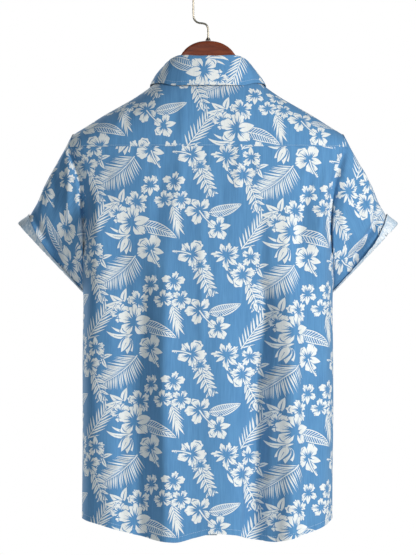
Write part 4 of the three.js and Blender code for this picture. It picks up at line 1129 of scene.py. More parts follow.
def cloth_look(name, low, high, rough, weave=0.16, streak=(420.0, 26.0), mottled=0.0, other=None):
    """Slubbed cotton: colour runs in fine streaks up the cloth, over a plain weave."""
    m, nt, bsdf = nodes_of(name)
    uv = add_node(nt, "ShaderNodeUVMap", uv_map="Cloth")
    # slubs
    stretch = add_node(nt, "ShaderNodeMapping")
    stretch.inputs["Scale"].default_value = (streak[0], streak[1], 1)
    link(nt, uv.outputs["UV"], stretch.inputs["Vector"])
    slub = add_node(nt, "ShaderNodeTexNoise", Scale=1.0, Detail=3.0, Roughness=0.6)
    link(nt, stretch.outputs["Vector"], slub.inputs["Vector"])
    wide = add_node(nt, "ShaderNodeMapping")
    wide.inputs["Scale"].default_value = (60, 14, 1)
    link(nt, uv.outputs["UV"], wide.inputs["Vector"])
    cloud = add_node(nt, "ShaderNodeTexNoise", Scale=1.0, Detail=2.0, Roughness=0.5)
    link(nt, wide.outputs["Vector"], cloud.inputs["Vector"])
    both = add_node(nt, "ShaderNodeMath", operation="MULTIPLY_ADD")
    link(nt, cloud.outputs["Fac"], both.inputs[0])
    both.inputs[1].default_value = 0.45
    link(nt, slub.outputs["Fac"], both.inputs[2])
    ramp = add_node(nt, "ShaderNodeMapRange")
    ramp.inputs["From Min"].default_value = 0.48
    ramp.inputs["From Max"].default_value = 0.98
    link(nt, both.outputs["Value"], ramp.inputs["Value"])
    colour = add_node(nt, "ShaderNodeMix", data_type="RGBA")
    colour.inputs["A"].default_value = (*low, 1)
    colour.inputs["B"].default_value = (*high, 1)
    link(nt, ramp.outputs["Result"], colour.inputs["Factor"])
    last = colour.outputs["Result"]
    if mottled:
        spot = add_node(nt, "ShaderNodeMapping")
        spot.inputs["Scale"].default_value = (240, 200, 1)
        link(nt, uv.outputs["UV"], spot.inputs["Vector"])
        fleck = add_node(nt, "ShaderNodeTexNoise", Scale=1.0, Detail=4.0, Roughness=0.7)
        link(nt, spot.outputs["Vector"], fleck.inputs["Vector"])
        amount = add_node(nt, "ShaderNodeMapRange")
        amount.inputs["From Min"].default_value = 0.42
        amount.inputs["From Max"].default_value = 0.68
        amount.inputs["To Max"].default_value = mottled
        link(nt, fleck.outputs["Fac"], amount.inputs["Value"])
        worn = add_node(nt, "ShaderNodeMix", data_type="RGBA")
        link(nt, last, worn.inputs["A"])
        worn.inputs["B"].default_value = (*other, 1)
        link(nt, amount.outputs["Result"], worn.inputs["Factor"])
        last = worn.outputs["Result"]
    link(nt, last, bsdf.inputs["Base Color"])
    bsdf.inputs["Roughness"].default_value = rough
    bsdf.inputs["Specular IOR Level"].default_value = 0.25
    bsdf.inputs["Sheen Weight"].default_value = 0.12
    bsdf.inputs["Sheen Roughness"].default_value = 0.5
    # plain weave, and the slubs' own thickness
    threads = []
    for way in ("X", "Y"):
        wave = add_node(nt, "ShaderNodeTexWave", Scale=330.0, Distortion=1.2, Detail=1.0)
        wave.bands_direction = way
        wave.inputs["Detail Scale"].default_value = 0.6
        link(nt, uv.outputs["UV"], wave.inputs["Vector"])
        threads.append(wave)
    weft = add_node(nt, "ShaderNodeMath", operation="MULTIPLY")
    link(nt, threads[0].outputs["Fac"], weft.inputs[0])
    link(nt, threads[1].outputs["Fac"], weft.inputs[1])
    height = add_node(nt, "ShaderNodeMath", operation="MULTIPLY_ADD")
    link(nt, slub.outputs["Fac"], height.inputs[0])
    height.inputs[1].default_value = 1.6
    link(nt, weft.outputs["Value"], height.inputs[2])
    bump = add_node(nt, "ShaderNodeBump", Strength=weave, Distance=0.0004)
    link(nt, height.outputs["Value"], bump.inputs["Height"])
    link(nt, bump.outputs["Normal"], bsdf.inputs["Normal"])
    return m


BLUE_LOW, BLUE_HIGH = (0.084, 0.232, 0.440), (0.122, 0.306, 0.535)
print_blue = cloth_look("print_blue", BLUE_LOW, BLUE_HIGH, 0.86)
print_white = cloth_look("print_white", (0.76, 0.77, 0.74), (0.86, 0.86, 0.83), 0.86)
wrong_blue = cloth_look("wrong_blue", (0.30, 0.43, 0.56), (0.50, 0.61, 0.71), 0.9, mottled=0.9, other=(0.80, 0.83, 0.85))
wrong_white = cloth_look("wrong_white", (0.76, 0.79, 0.80), (0.85, 0.86, 0.86), 0.9, mottled=0.5, other=(0.40, 0.52, 0.64))
CLOTH_MATS = [print_blue, print_white, wrong_blue, wrong_white]
BOTH_RIGHT = [print_blue, print_white, print_blue, print_white]
WRONG_OUT = [wrong_blue, wrong_white, print_blue, print_white]

# ------------------------------------------------------------------ the pieces
back = make_back()
yoke = make_yoke()
front_l, front_r = make_front(1), make_front(-1)
sleeve_l, sleeve_r = make_sleeve(1), make_sleeve(-1)
collar = make_collar()


def side_line(face, z):
    """Arc from the centre to the side seam or armhole at heights z."""
    return arc_of(face, side_turn(z + 1e-6), z)


ARM_Z = np.linspace(UNDERARM_Z + 0.01, YOKE_SEAM_Z, 40)
LOW_Z = np.linspace(-887, UNDERARM_Z, 60)


# ------------------------------------------------------------------ folds, listed one by one
def spot(x, y):
    """Across and up, in millimetres, of a place x from the left and y from the top in
    units of PX, as seen from behind."""
    return (x - 208) * PX, -22.8 - (y + 6) * PX


def seen(rows):
    """Creases whose ends are given as places seen from behind."""
    return [(*spot(x0, y0), *spot(x1, y1), wide, high, fade) for x0, y0, x1, y1, wide, high, fade in rows]


# ends, half width in mm, height in mm (below 0 for a trough), how much of it fades
BEHIND = seen([
    # the left of the two large folds, from the yoke to the hem
    (186, 142, 168, 262, 9, 2.2, 0.35), (168, 145, 151, 264, 9, -2.4, 0.35),
    (168, 225, 164, 575, 10, 4.0, 0.22), (146, 240, 141, 575, 11, -4.0, 0.22),
    # the right one, steeper
    (284, 190, 290, 335, 10, 4.0, 0.3), (263, 192, 261, 335, 11, -4.2, 0.3),
    (291, 270, 288, 575, 13, 11.0, 0.2), (262, 262, 253, 575, 15, -14.5, 0.2),
    (258, 300, 262, 420, 5, 1.1, 0.4), (246, 430, 242, 540, 7, 1.3, 0.4),
    # one that leans in from the right armhole
    (333, 158, 306, 268, 7.5, 4.4, 0.3), (317, 156, 292, 262, 8, -4.2, 0.3),
    # the squarer left side, and shallow swells between the folds
    (94, 175, 93, 575, 15, 6.5, 0.12), (124, 200, 122, 575, 13, -3.0, 0.2), (118, 200, 112, 330, 8, -1.4, 0.4), (126, 395, 120, 560, 9, -2.0, 0.3),
    (203, 195, 200, 385, 6, 2.0, 0.3), (238, 100, 238, 215, 7, 2.2, 0.35), (222, 140, 226, 335, 10, -2.0, 0.35),
    (214, 380, 210, 560, 9, 0.9, 0.4), (184, 92, 176, 200, 8, 1.5, 0.4), (318, 178, 321, 575, 15, 7.0, 0.12),
    (193, 400, 190, 560, 6, -0.8, 0.4), (230, 330, 233, 520, 7, -0.9, 0.4),
    # short ones that hang from the yoke seam
    (300, 150, 298, 200, 3.4, -1.6, 0.35), (306, 150, 304, 196, 3.4, 1.2, 0.35),
    (322, 153, 318, 206, 3.6, -2.0, 0.35), (150, 150, 148, 184, 3.2, -0.9, 0.4), (127, 151, 126, 180, 3.2, -0.8, 0.4),
    (250, 149, 251, 192, 4.0, -1.0, 0.4), (205, 149, 206, 176, 3.4, -0.7, 0.4), (110, 152, 108, 190, 4.0, -1.0, 0.4),
])
SHOULDERS = seen([
    (140, 92, 118, 140, 6, -1.0, 0.4), (132, 96, 108, 146, 6, 1.0, 0.4), (274, 92, 300, 142, 6, 1.0, 0.4),
    (286, 98, 312, 146, 6, -0.9, 0.4), (180, 92, 172, 146, 7, -0.9, 0.4), (238, 95, 239, 150, 7, 1.3, 0.35),
    (184, 88, 181, 150, 8, 1.3, 0.35), (252, 94, 258, 140, 6, -0.8, 0.4)])
SLEEVES_BEHIND = seen([
    # left sleeve: one crest with a dark flank each side, and drag towards the underarm
    (71, 118, 68, 232, 6.0, 4.0, 0.3), (58, 122, 51, 222, 7, -3.4, 0.3), (46, 160, 38, 226, 6, 1.4, 0.3),
    (76, 205, 52, 262, 7, -1.6, 0.3), (66, 222, 60, 272, 6, 1.2, 0.3),
    # right sleeve: three uneven folds from the shoulder to the cuff
    (347, 150, 341, 246, 5.0, 4.0, 0.25), (337, 158, 334, 252, 5.5, -4.0, 0.25), (353, 152, 364, 236, 5, -3.4, 0.3),
    (361, 148, 374, 226, 6, 3.2, 0.3), (371, 160, 384, 216, 5, -1.3, 0.3), (346, 232, 352, 270, 5, -1.6, 0.3)])
# as seen from in front, x to +X, in millimetres
BEFORE = [
    (-72, -395, -62, -960, 11, 3.4, 0.22), (-100, -380, -98, -960, 14, -3.8, 0.22), (-134, -430, -140, -960, 13, 2.6, 0.2),
    (96, -350, 84, -960, 11, 3.6, 0.25), (68, -380, 56, -960, 13, -3.2, 0.25), (146, -440, 150, -960, 12, 2.4, 0.2),
    (44, -262, 104, -440, 7, 1.8, 0.35), (60, -260, 124, -425, 7, -1.7, 0.35), (-48, -264, -112, -430, 7, 1.7, 0.35),
    (-66, -262, -130, -440, 7, -1.6, 0.35), (160, -300, 118, -470, 8, -1.9, 0.3), (-168, -310, -126, -480, 8, -1.7, 0.3),
    (26, -420, 30, -700, 7, 0.9, 0.4), (-30, -500, -34, -840, 8, 1.1, 0.4), (120, -640, 112, -900, 8, -1.4, 0.35)]
SLEEVES_BEFORE = [
    (214, -250, 226, -430, 6, 2.2, 0.3), (232, -262, 252, -430, 6, -2.0, 0.3), (258, -300, 280, -420, 6, 1.6, 0.3),
    (208, -330, 216, -500, 6, -1.8, 0.3), (-216, -252, -222, -440, 6, 2.3, 0.3), (-236, -268, -250, -420, 7, -2.1, 0.3),
    (-262, -310, -286, -410, 6, 1.4, 0.3), (-206, -340, -220, -480, 6, -1.6, 0.3)]


def side_of(panel, sign):
    """1 where the cloth faces that way, fading out where it turns to the other."""
    return smooth((sign * panel.p[..., 1] + 4) / 26) * smooth(0.2 + 1.6 * sign * panel.n[..., 1])


def ease_in(panel, depth):
    """Moves the cloth in towards the middle from both faces, by a depth at each place."""
    panel.p = panel.p.copy()
    panel.p[..., 1] -= depth * np.clip(panel.p[..., 1] / 22, -1, 1)
    panel.n = grid_normals(panel.p) * panel.turn


def to_armhole(face, panel, sign):
    """How far a place of a body panel is from its armhole, along the cloth."""
    z = panel.V if face == "back" else np.minimum(panel.V, CHEST_Z - 0.01)
    edge = side_line(face, z)
    return edge - np.abs(panel.E), z


def on(panel, x, y):
    """The flat place of a panel that lies at this place as seen from behind."""
    a, b = spot(x, y)
    d = np.hypot(-panel.p[..., 0] - a, panel.p[..., 2] - b) + 1000 * (panel.p[..., 1] < 4)
    k = np.unravel_index(np.argmin(d), d.shape)
    return float(panel.E[k]), float(panel.V[k])


HOLLOW, HOLLOW_WIDE = 9.5, 11.5
# the back's two sides lie out broadly, towards the viewer and not sideways
BROAD = seen([(103, 180, 101, 575, 34, 14.0, 0.12), (316, 190, 318, 575, 36, 12.0, 0.12)])
arm_fade = lambda z: smooth((z - UNDERARM_Z + 10) / 60)
# folds die out at the armhole, and go on to the side below the underarm
from_arm = lambda d, z, near=22.0: np.maximum(smooth((d - 1) / near), smooth((UNDERARM_Z - 4 - z) / 40))
flat_back = back.p.copy()
d, z = to_armhole("back", back, 0)
back.raise_by(crease(-flat_back[..., 0], flat_back[..., 2], BEHIND) * from_arm(d, z))
back.p[..., 1] += crease(-flat_back[..., 0], flat_back[..., 2], BROAD) * np.clip(flat_back[..., 1] / 26, 0, 1) * from_arm(d, z, 26.0)
ease_in(back, HOLLOW * smooth(1 - (d - 1) / HOLLOW_WIDE) * arm_fade(z) * smooth((YOKE_SEAM_Z - 2 - z) / 30 + 0.35))
# puckers along the yoke seam, and its edges: the back goes in under the yoke
near = np.abs(YOKE_SEAM_Z - back.V)


def side_swell(panel, face):
    """The body's side lies close under the sleeve, just below the underarm."""
    edge = quarter_at(face, np.minimum(panel.V, UNDERARM_Z))
    return 2.4 * np.exp(-((panel.V + 486) / 26) ** 2) * smooth(1 - (edge - np.abs(panel.E)) / 26) * (panel.V < -440)


back.raise_by(side_swell(back, "back"))
back.raise_by(0.42 * noise1(back.E / 2.6, 71) * np.exp(-(near / 9) ** 2)
              - 0.95 * smooth((back.V - YOKE_SEAM_Z + 2.6) / 3.0))
hem_gap = back.V - np.interp(-back.p[..., 0], *[np.array(q) for q in
                             (np.sort(-HEM_BACK[:, 0]), HEM_BACK[np.argsort(-HEM_BACK[:, 0]), 1])])
back.raise_by(0.30 * noise1((back.E + 0.8 * hem_gap) / 1.9, 72) * smooth((12 - np.abs(hem_gap - 4)) / 6)
              - 0.22 * np.exp(-((hem_gap - 9) / 1.8) ** 2))
yoke.raise_by(crease(-yoke.p[..., 0], yoke.p[..., 2], SHOULDERS) * side_of(yoke, 1) * smooth((yoke.V - 1) / 10 + 0.25))
yoke.raise_by(0.42 * noise1(yoke.E / 2.6, 71) * np.exp(-(yoke.V / 9) ** 2) + 0.35 * smooth((7 - yoke.V) / 5)
              - 0.5 * smooth((0.9 - yoke.V) / 0.9))
for f, side in ((front_l, 1), (front_r, -1)):
    flat_front = f.p.copy()
    d, z = to_armhole("front", f, side)
    mid = smooth((np.abs(f.E) - 17) / 16)
    f.raise_by(crease(flat_front[..., 0], flat_front[..., 2], BEFORE) * mid
               * from_arm(d, z) * smooth((CHEST_Z + 42 - f.V) / 40))
    ease_in(f, HOLLOW * smooth(1 - (d - 1) / HOLLOW_WIDE) * arm_fade(z) * smooth((CHEST_Z - 2 - f.V) / 30 + 0.35))
    f.raise_by(side_swell(f, "front"))
    gap = f.V - np.interp(f.p[..., 0], HEM_FRONT[:, 0], HEM_FRONT[:, 1])
    f.raise_by(0.28 * noise1((f.E + 0.8 * gap) / 1.9, 73 + side) * smooth((12 - np.abs(gap - 4)) / 6))
    f.raise_by(0.25 * noise1(f.V / 3.0, 75 + side) * np.exp(-((np.abs(f.E) - 13) / 5) ** 2) * (side > 0))
for sl, side in ((sleeve_l, 1), (sleeve_r, -1)):
    p0 = sl.p.copy()
    share = 1 - sl.V / np.maximum(sl.length[None], 1)
    hold = smooth((share - 0.02) / 0.14) * smooth((1.0 - share) / 0.05 + 0.2)
    sl.raise_by(crease(-p0[..., 0], p0[..., 2], SLEEVES_BEHIND) * side_of(sl, 1) * hold)
    sl.raise_by(crease(p0[..., 0], p0[..., 2], SLEEVES_BEFORE) * side_of(sl, -1) * hold)
    from_seam = share * sl.length[None]
    start = p0[int(0.02 / 1.02 * (SLEEVE_ROWS - 1)) + 1]
    fade = arm_fade(start[:, 2]) * np.where(start[:, 1] > 0, smooth((YOKE_SEAM_Z - 2 - start[:, 2]) / 30 + 0.35),
                                            smooth((CHEST_Z - 2 - start[:, 2]) / 30 + 0.35))
    low = smooth((start[:, 2] - UNDERARM_Z + 34) / 24) * smooth((-318 - start[:, 2]) / 60)
    sl.p[..., 1] -= (HOLLOW * smooth(1 - (from_seam - 1) / 12.0) * fade[None]) * np.clip(start[None, :, 1] / 22, -1, 1)
    deeper = (9.0 if side > 0 else 14.0) * smooth(from_seam / 7.0) * np.exp(-(np.maximum(0, from_seam - 7) / 6.0) ** 2) * low[None]
    y = sl.p[..., 1]
    sl.p[..., 1] = np.sign(y) * np.maximum(np.abs(y) - deeper, np.minimum(np.abs(y), 3.0))
    sl.n = grid_normals(sl.p) * sl.turn
cuff_l, cuff_r = make_cuff(sleeve_l), make_cuff(sleeve_r)
for sl in (sleeve_l, sleeve_r):
    # the sleeve goes in just above its turned-up end
    out_of = np.abs(np.linspace(0, 1, 241) * 2 - 1)
    edge = np.interp(out_of, [0, 0.08, 0.16, 0.26, 0.52, 1], [25, 22, 16, 11, 6.0, 4.0])
    past = sl.V - edge[None] - (7.0 if sl.side > 0 else 13.0 - 5.0 * smooth((out_of[None] - 0.3) / 0.3))
    sl.raise_by((-4.6 if sl.side > 0 else -12.0) * np.exp(-(past / np.where(past > 0, 9.0, 6.0)) ** 2) * side_of(sl, 1)
                * (smooth((0.80 - out_of) / 0.3) * smooth((out_of - 0.03) / 0.14))[None])
for cf, seed in ((cuff_l, 81), (cuff_r, 83)):
    up_it = smooth(cf.V / 12)
    cf.raise_by(up_it * (0.9 * noise1((cf.E + 0.6 * cf.V) / 6.0, seed) + 0.35 * noise1(cf.E / 2.2, seed + 1) + 0.4))
collar.raise_by(0.22 * noise1(collar.E / 3.2, 77) * np.exp(-((collar.V - collar.low - 6) / 4) ** 2)
                + 0.9 * noise1(collar.E / 26, 78) * smooth(-collar.V / 14) * smooth((collar.V - collar.low) / 9))


def back_outline():
    turns = np.linspace(90, -90, 181) * rad
    pts = body("back", turns, np.full(181, -887.0))
    hem_e = -arc_of("back", turns, np.full(181, -887.0))
    hem_v = hem_at["back"](pts[:, 0])
    right = [(e, z) for e, z in zip(quarter_at("back", LOW_Z), LOW_Z)][1:]
    right += [(e, z) for e, z in zip(side_line("back", ARM_Z), ARM_Z)][1:]
    right += [(right[-1][0], YOKE_SEAM_Z + EDGE_TUCK)]
    top = [(e, YOKE_SEAM_Z + EDGE_TUCK) for e in np.linspace(right[-1][0], -right[-1][0], 80)[1:-1]]
    left = [(-e, z) for e, z in right[::-1]]
    return list(zip(hem_e, hem_v)) + right + top + left, (hem_e, hem_v)


def yoke_outline():
    x0 = YOKE_HALF * math.sin(YOKE_SIDE)
    xs = np.linspace(x0, -x0, 90)
    low = list(zip(*yoke_flat(xs, np.zeros(90))))
    t = np.linspace(0, 1, 50)
    r_side = list(zip(*yoke_flat(*yoke_side(t, -1))))[1:]
    r_seam = list(zip(*yoke_flat(*yoke_front(t[::-1], -1))))[1:]
    ang = np.linspace(-YOKE_NECK_ANGLE, YOKE_NECK_ANGLE, 90)
    nx, ny = neck_plan(ang)
    neck = list(zip(*yoke_flat(nx, over_at(nx, ny))))[1:]
    l_seam = list(zip(*yoke_flat(*yoke_front(t, 1))))[1:]
    l_side = list(zip(*yoke_flat(*yoke_side(t[::-1], 1))))[1:-1]
    return low + r_side + r_seam + neck + l_seam + l_side


def front_outline(panel, side):
    edge_e = -OVERLAP * side
    turns = np.linspace(0, 90, 91) * rad * side
    pts = body("front", turns, np.full(91, -887.0))
    hem_e = arc_of("front", turns, np.full(91, -887.0))
    hem_v = hem_at["front"](pts[:, 0])
    under = (3 * smooth((11 * (1 - np.abs(hem_e) / quarter_at("front", -887.0)) - 8.6) / 2)) if side < 0 else 0
    hem_v = hem_v + under
    hem = [(edge_e, hem_v[0])] + list(zip(hem_e, hem_v))
    out = [(side * e, z) for e, z in zip(quarter_at("front", LOW_Z), LOW_Z)][1:]
    arm_z = np.linspace(UNDERARM_Z + 0.01, CHEST_Z, 36)
    out += [(side * e, z) for e, z in zip(side_line("front", arm_z), arm_z)][1:]
    o = np.linspace(180, 180 - YOKE_ARM_RISE, 12)[1:]
    out += list(zip(*panel.flat(np.full(len(o), side * ARM_X), o)))
    t = np.linspace(1, 0, 50)
    x, over = yoke_front(t, side)
    out += list(zip(*panel.flat(x, over)))[1:]
    ang = np.linspace(YOKE_NECK_ANGLE, 194.5, 40)
    nx, ny = neck_plan(ang)
    out += list(zip(*panel.flat(side * nx, over_at(side * nx, ny))))[1:]
    out += [(mix(out[-1][0], edge_e, t), mix(out[-1][1], CHEST_Z, t)) for t in (0.5, 1.0)]
    out += [(edge_e, z) for z in np.linspace(CHEST_Z, hem_v[0], 60)[1:-1]]
    return hem + out, (hem_e, hem_v)


def sleeve_outline(panel):
    e = np.linspace(-panel.girth / 2, panel.girth / 2, 200)
    L = np.interp((0.5 + panel.sign * e / panel.girth) * 240, np.arange(241), panel.length)
    low = [(x, 0.0) for x in e]
    top = [(x, l * 1.016) for x, l in zip(e, L)][::-1]
    return low + top


def cuff_outline(panel):
    e = np.linspace(-panel.girth / 2, panel.girth / 2, 240)
    L = np.interp((0.5 + panel.sign * e / panel.girth) * 240, np.arange(241), panel.length)
    return [(x, 0.0) for x in e] + [(x, l) for x, l in zip(e, L)][::-1]


def collar_outline(panel):
    e = panel.e
    return list(zip(e, panel.low + 0.05)) + list(zip(e, panel.high - 0.05))[::-1]


outline_back, hem_b = back_outline()
outline_yoke = yoke_outline()
outline_fl, hem_fl = front_outline(front_l, 1)
outline_fr, hem_fr = front_outline(front_r, -1)

BACK_PRINT = laid(0.0, -22.8, 208 - 100, -6 - 165, 1.012)


def top_half(place):
    return place


def finish_piece(o, node):
    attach(o, "root")
    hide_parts(node)


WOOD_AND = ["hanger_wood"]
jobs = [
    ("back", back, outline_back, BACK_PRINT, CLOTH_MATS, (4.0, 6.0), ["shirt_yoke"]),
    ("yoke", yoke, outline_yoke, laid(0.0, 0.0, 161.6, 84, 1.02), CLOTH_MATS, (4.0, 4.5), WOOD_AND),
    ("front_left", front_l, outline_fl, laid(0.0, -22.8, 40, -150, 1.0), CLOTH_MATS, (4.5, 6.5), ["shirt_yoke"]),
    ("front_right", front_r, outline_fr, laid(0.0, -22.8, 40, -150, 1.0), CLOTH_MATS, (4.5, 6.5), ["shirt_yoke"]),
    ("sleeve_left", sleeve_l, sleeve_outline(sleeve_l), laid(*on(sleeve_l, 66, 225), 52, 85, 1.25, 180), CLOTH_MATS, (4.0, 4.5), ["shirt_yoke"]),
    ("sleeve_right", sleeve_r, sleeve_outline(sleeve_r), laid(*on(sleeve_r, 341.5, 260), 99.5, 46, 1.25, -18), CLOTH_MATS, (4.0, 4.5), ["shirt_yoke"]),
    ("cuff_left", cuff_l, cuff_outline(cuff_l), laid(0.0, 0.0, 20, 20), WRONG_OUT, (4.0, 3.0), ["shirt_sleeve_left"]),
    ("cuff_right", cuff_r, cuff_outline(cuff_r), laid(0.0, 0.0, 60, 50), WRONG_OUT, (4.0, 3.0), ["shirt_sleeve_right"]),
    ("collar", collar, collar_outline(collar), laid(-8.0, -27.0, 33, 57.5, 1.0, 180), BOTH_RIGHT, (4.0, 2.5), ["shirt_yoke"]),
]
TURNED = 0.5                      # how much a turned-under edge adds inside


def hem_thick(hem, edge=None):
    order = np.argsort(hem[0])
    he, hv = np.asarray(hem[0])[order], np.asarray(hem[1])[order]

    def thick(e, v):
        t = smooth((9.6 - (v - np.interp(e, he, hv))) / 0.8)
        if edge is not None:
            t = np.maximum(t, smooth((29.0 - np.abs(e - edge)) / 0.8) * (v < CHEST_Z + 160))
        return TURNED * t
    return thick


THICK = {"back": hem_thick(hem_b), "front_left": hem_thick(hem_fl, -OVERLAP), "front_right": hem_thick(hem_fr, OVERLAP),
         "collar": lambda e, v: 0.35 * np.ones_like(e)}
for node, panel, outline, place, mats, step, rests in jobs:
    o = cloth("shirt_" + node, panel, outline, place, mats, step, WALL, THICK.get(node))
    finish_piece(o, node)

# ------------------------------------------------------------------ stitches
def tube_mesh(name, runs, mats, sides=6, uv=True, smooth_=True):
    """Closed round pieces, each (centres, radii), joined in one mesh."""
    co, faces, start = [], [], 0
    for pts, radii in runs:
        pts = np.asarray(pts, float)
        g = unit(np.gradient(pts, axis=0))
        ref = np.array([0.0, 0, 1]) if abs(g[0][2]) < 0.9 else np.array([1.0, 0, 0])
        a = unit(np.cross(g, ref))
        b = np.cross(g, a)
        f = np.arange(sides) / sides * 2 * np.pi
        ring = (np.cos(f)[None, :, None] * a[:, None] + np.sin(f)[None, :, None] * b[:, None]) \
            * np.asarray(radii, float)[:, None, None]
        co.append((pts[:, None] + ring).reshape(-1, 3))
        n = len(pts)
        for k in range(n - 1):
            for i in range(sides):
                p, q = start + k * sides + i, start + k * sides + (i + 1) % sides
                faces.append((p, p + sides, q + sides, q))
        faces.append(tuple(start + i for i in range(sides)))
        faces.append(tuple(start + (n - 1) * sides + i for i in range(sides))[::-1])
        start += n * sides
    co = np.concatenate(co) * MM
    me = bpy.data.meshes.new(name)
    me.from_pydata(co.tolist(), [], faces)
    for m in mats:
        me.materials.append(m)
    layer = me.uv_layers.new(name="OFBake")
    loops = np.empty(len(me.loops), int)
    me.loops.foreach_get("vertex_index", loops)
    box = (co - co.min(0)) / np.maximum(co.max(0) - co.min(0), 1e-6)
    uvs = np.stack([box[:, 0] * 0.98 + 0.01, box[:, 2] * 0.98 + 0.01], -1)
    layer.data.foreach_set("uv", uvs[loops].ravel())
    if smooth_:
        me.polygons.foreach_set("use_smooth", [True] * len(me.polygons))
    me.update()
    o = bpy.data.objects.new(name, me)
    bpy.context.scene.collection.objects.link(o)
    return o


STITCH_T = np.array([0, 0.12, 0.5, 0.88, 1.0])
STITCH_R = np.array([0.13, 0.24, 0.27, 0.24, 0.13])
STITCH_H = np.array([-0.12, 0.06, 0.13, 0.06, -0.12])


def stitch_runs(panel, e, v, pitch=3.1, share=0.74, seed=1, size=1.0, off=0.0):
    """A row of stitches along a line on a panel, a little uneven."""
    e, v = np.asarray(e, float), np.asarray(v, float)
    d = np.concatenate([[0], np.cumsum(np.hypot(np.diff(e), np.diff(v)))])
    rng = np.random.default_rng(seed)
    runs, at = [], 0.5
    while at + pitch < d[-1]:
        long = pitch * share * rng.uniform(0.93, 1.05)
        t = at + STITCH_T * long
        side = rng.uniform(-0.10, 0.10)
        p, n = panel.at(np.interp(t, d, e) + side, np.interp(t, d, v) + side, 0.0)
        runs.append((p + n * (WALL / 2 + off + STITCH_H * size)[:, None], STITCH_R * size))
        at += pitch * rng.uniform(0.97, 1.03)
    return runs


thread = cloth_look("print_thread", (0.40, 0.55, 0.70), (0.58, 0.70, 0.80), 0.62, weave=0.3, streak=(900, 900))
hem_line = lambda hem, up, lo=0, hi=None: (np.asarray(hem[0])[lo:hi], np.asarray(hem[1])[lo:hi] + up)
top_e = np.linspace(-quarter_at("back", YOKE_SEAM_Z) * 0.835, quarter_at("back", YOKE_SEAM_Z) * 0.835, 300)
t = np.linspace(0.03, 0.97, 60)
seam_l, seam_r = yoke_flat(*yoke_front(t, 1)), yoke_flat(*yoke_front(t, -1))
yoke_low = yoke_flat(np.linspace(YOKE_HALF * math.sin(YOKE_SIDE) - 3, -YOKE_HALF * math.sin(YOKE_SIDE) + 3, 200), np.zeros(200))
ce = np.linspace(collar.e[0] + 7, collar.e[-1] - 7, 400)
c_low = np.interp(ce, collar.e, collar.low)
fl_e, fr_e = -OVERLAP + 27.5, OVERLAP - 27.5
rows = [
    ("yoke", "stitches_yoke", [(yoke, yoke_low[0], yoke_low[1] + 1.9, 1),
                               (yoke, seam_l[0], seam_l[1] - 2.2, 2), (yoke, seam_r[0], seam_r[1] - 2.2, 3)]),
    ("back", "stitches_back", [(back, *hem_line(hem_b, 8.8), 4)]),
    ("front_left", "stitches_front_left", [(front_l, *hem_line(hem_fl, 8.8), 5),
                                           (front_l, np.full(60, fl_e), np.linspace(-905, -262, 60), 6)]),
    ("front_right", "stitches_front_right", [(front_r, *hem_line(hem_fr, 8.8), 7),
                                             (front_r, np.full(60, fr_e), np.linspace(-905, -262, 60), 8)]),
    ("collar", "stitches_collar", [
        (collar, ce, c_low + 6.2, 9),
        (collar, np.full(30, ce[0]), np.linspace(c_low[0] + 6.2, -4, 30), 10),
        (collar, np.full(30, ce[-1]), np.linspace(c_low[-1] + 6.2, -4, 30), 11)]),
]
for sl, cf, nm in ((sleeve_l, cuff_l, "left"), (sleeve_r, cuff_r, "right")):
    e = np.linspace(-sl.girth / 2 + 2, sl.girth / 2 - 2, 200)
    cols = (0.5 + sl.sign * e / sl.girth) * 240
    free = np.interp(cols, np.arange(241), cf.length)
    rows.append(("cuff_" + nm, "stitches_cuff_" + nm, [(cf, e, free - 3.0, 12 + (nm == "left"))]))
extras = {}
for node, name, lines in rows:
    runs = []
    for panel, e, v, seed in lines:
        runs += stitch_runs(panel, e, v, seed=seed)
    o = tube_mesh(name, runs, [thread], sides=5)
    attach(o, "root")
    extras.setdefault(node, []).append(name)
    print(name, len(runs), "stitches")

# ------------------------------------------------------------------ buttons
shell_look, nt, bsdf = nodes_of("button_shell")
co_ = add_node(nt, "ShaderNodeTexCoord")
cloudy = add_node(nt, "ShaderNodeTexNoise", Scale=160.0, Detail=3.0, Distortion=1.2)
link(nt, co_.outputs["Object"], cloudy.inputs["Vector"])
tint = add_node(nt, "ShaderNodeMix", data_type="RGBA")
tint.inputs["A"].default_value = (0.62, 0.66, 0.68, 1)
tint.inputs["B"].default_value = (0.86, 0.86, 0.83, 1)
link(nt, cloudy.outputs["Fac"], tint.inputs["Factor"])
link(nt, tint.outputs["Result"], bsdf.inputs["Base Color"])
shine = add_node(nt, "ShaderNodeMapRange")
shine.inputs["To Min"].default_value = 0.22
shine.inputs["To Max"].default_value = 0.36
link(nt, cloudy.outputs["Fac"], shine.inputs["Value"])
link(nt, shine.outputs["Result"], bsdf.inputs["Roughness"])
fine_bump = add_node(nt, "ShaderNodeBump", Strength=0.05, Distance=0.0002)
link(nt, cloudy.outputs["Fac"], fine_bump.inputs["Height"])
link(nt, fine_bump.outputs["Normal"], bsdf.inputs["Normal"])
bsdf.inputs["Coat Weight"].default_value = 0.35
bsdf.inputs["Coat Roughness"].default_value = 0.12

HOLE_AT, HOLE_R = 1.25, 0.62


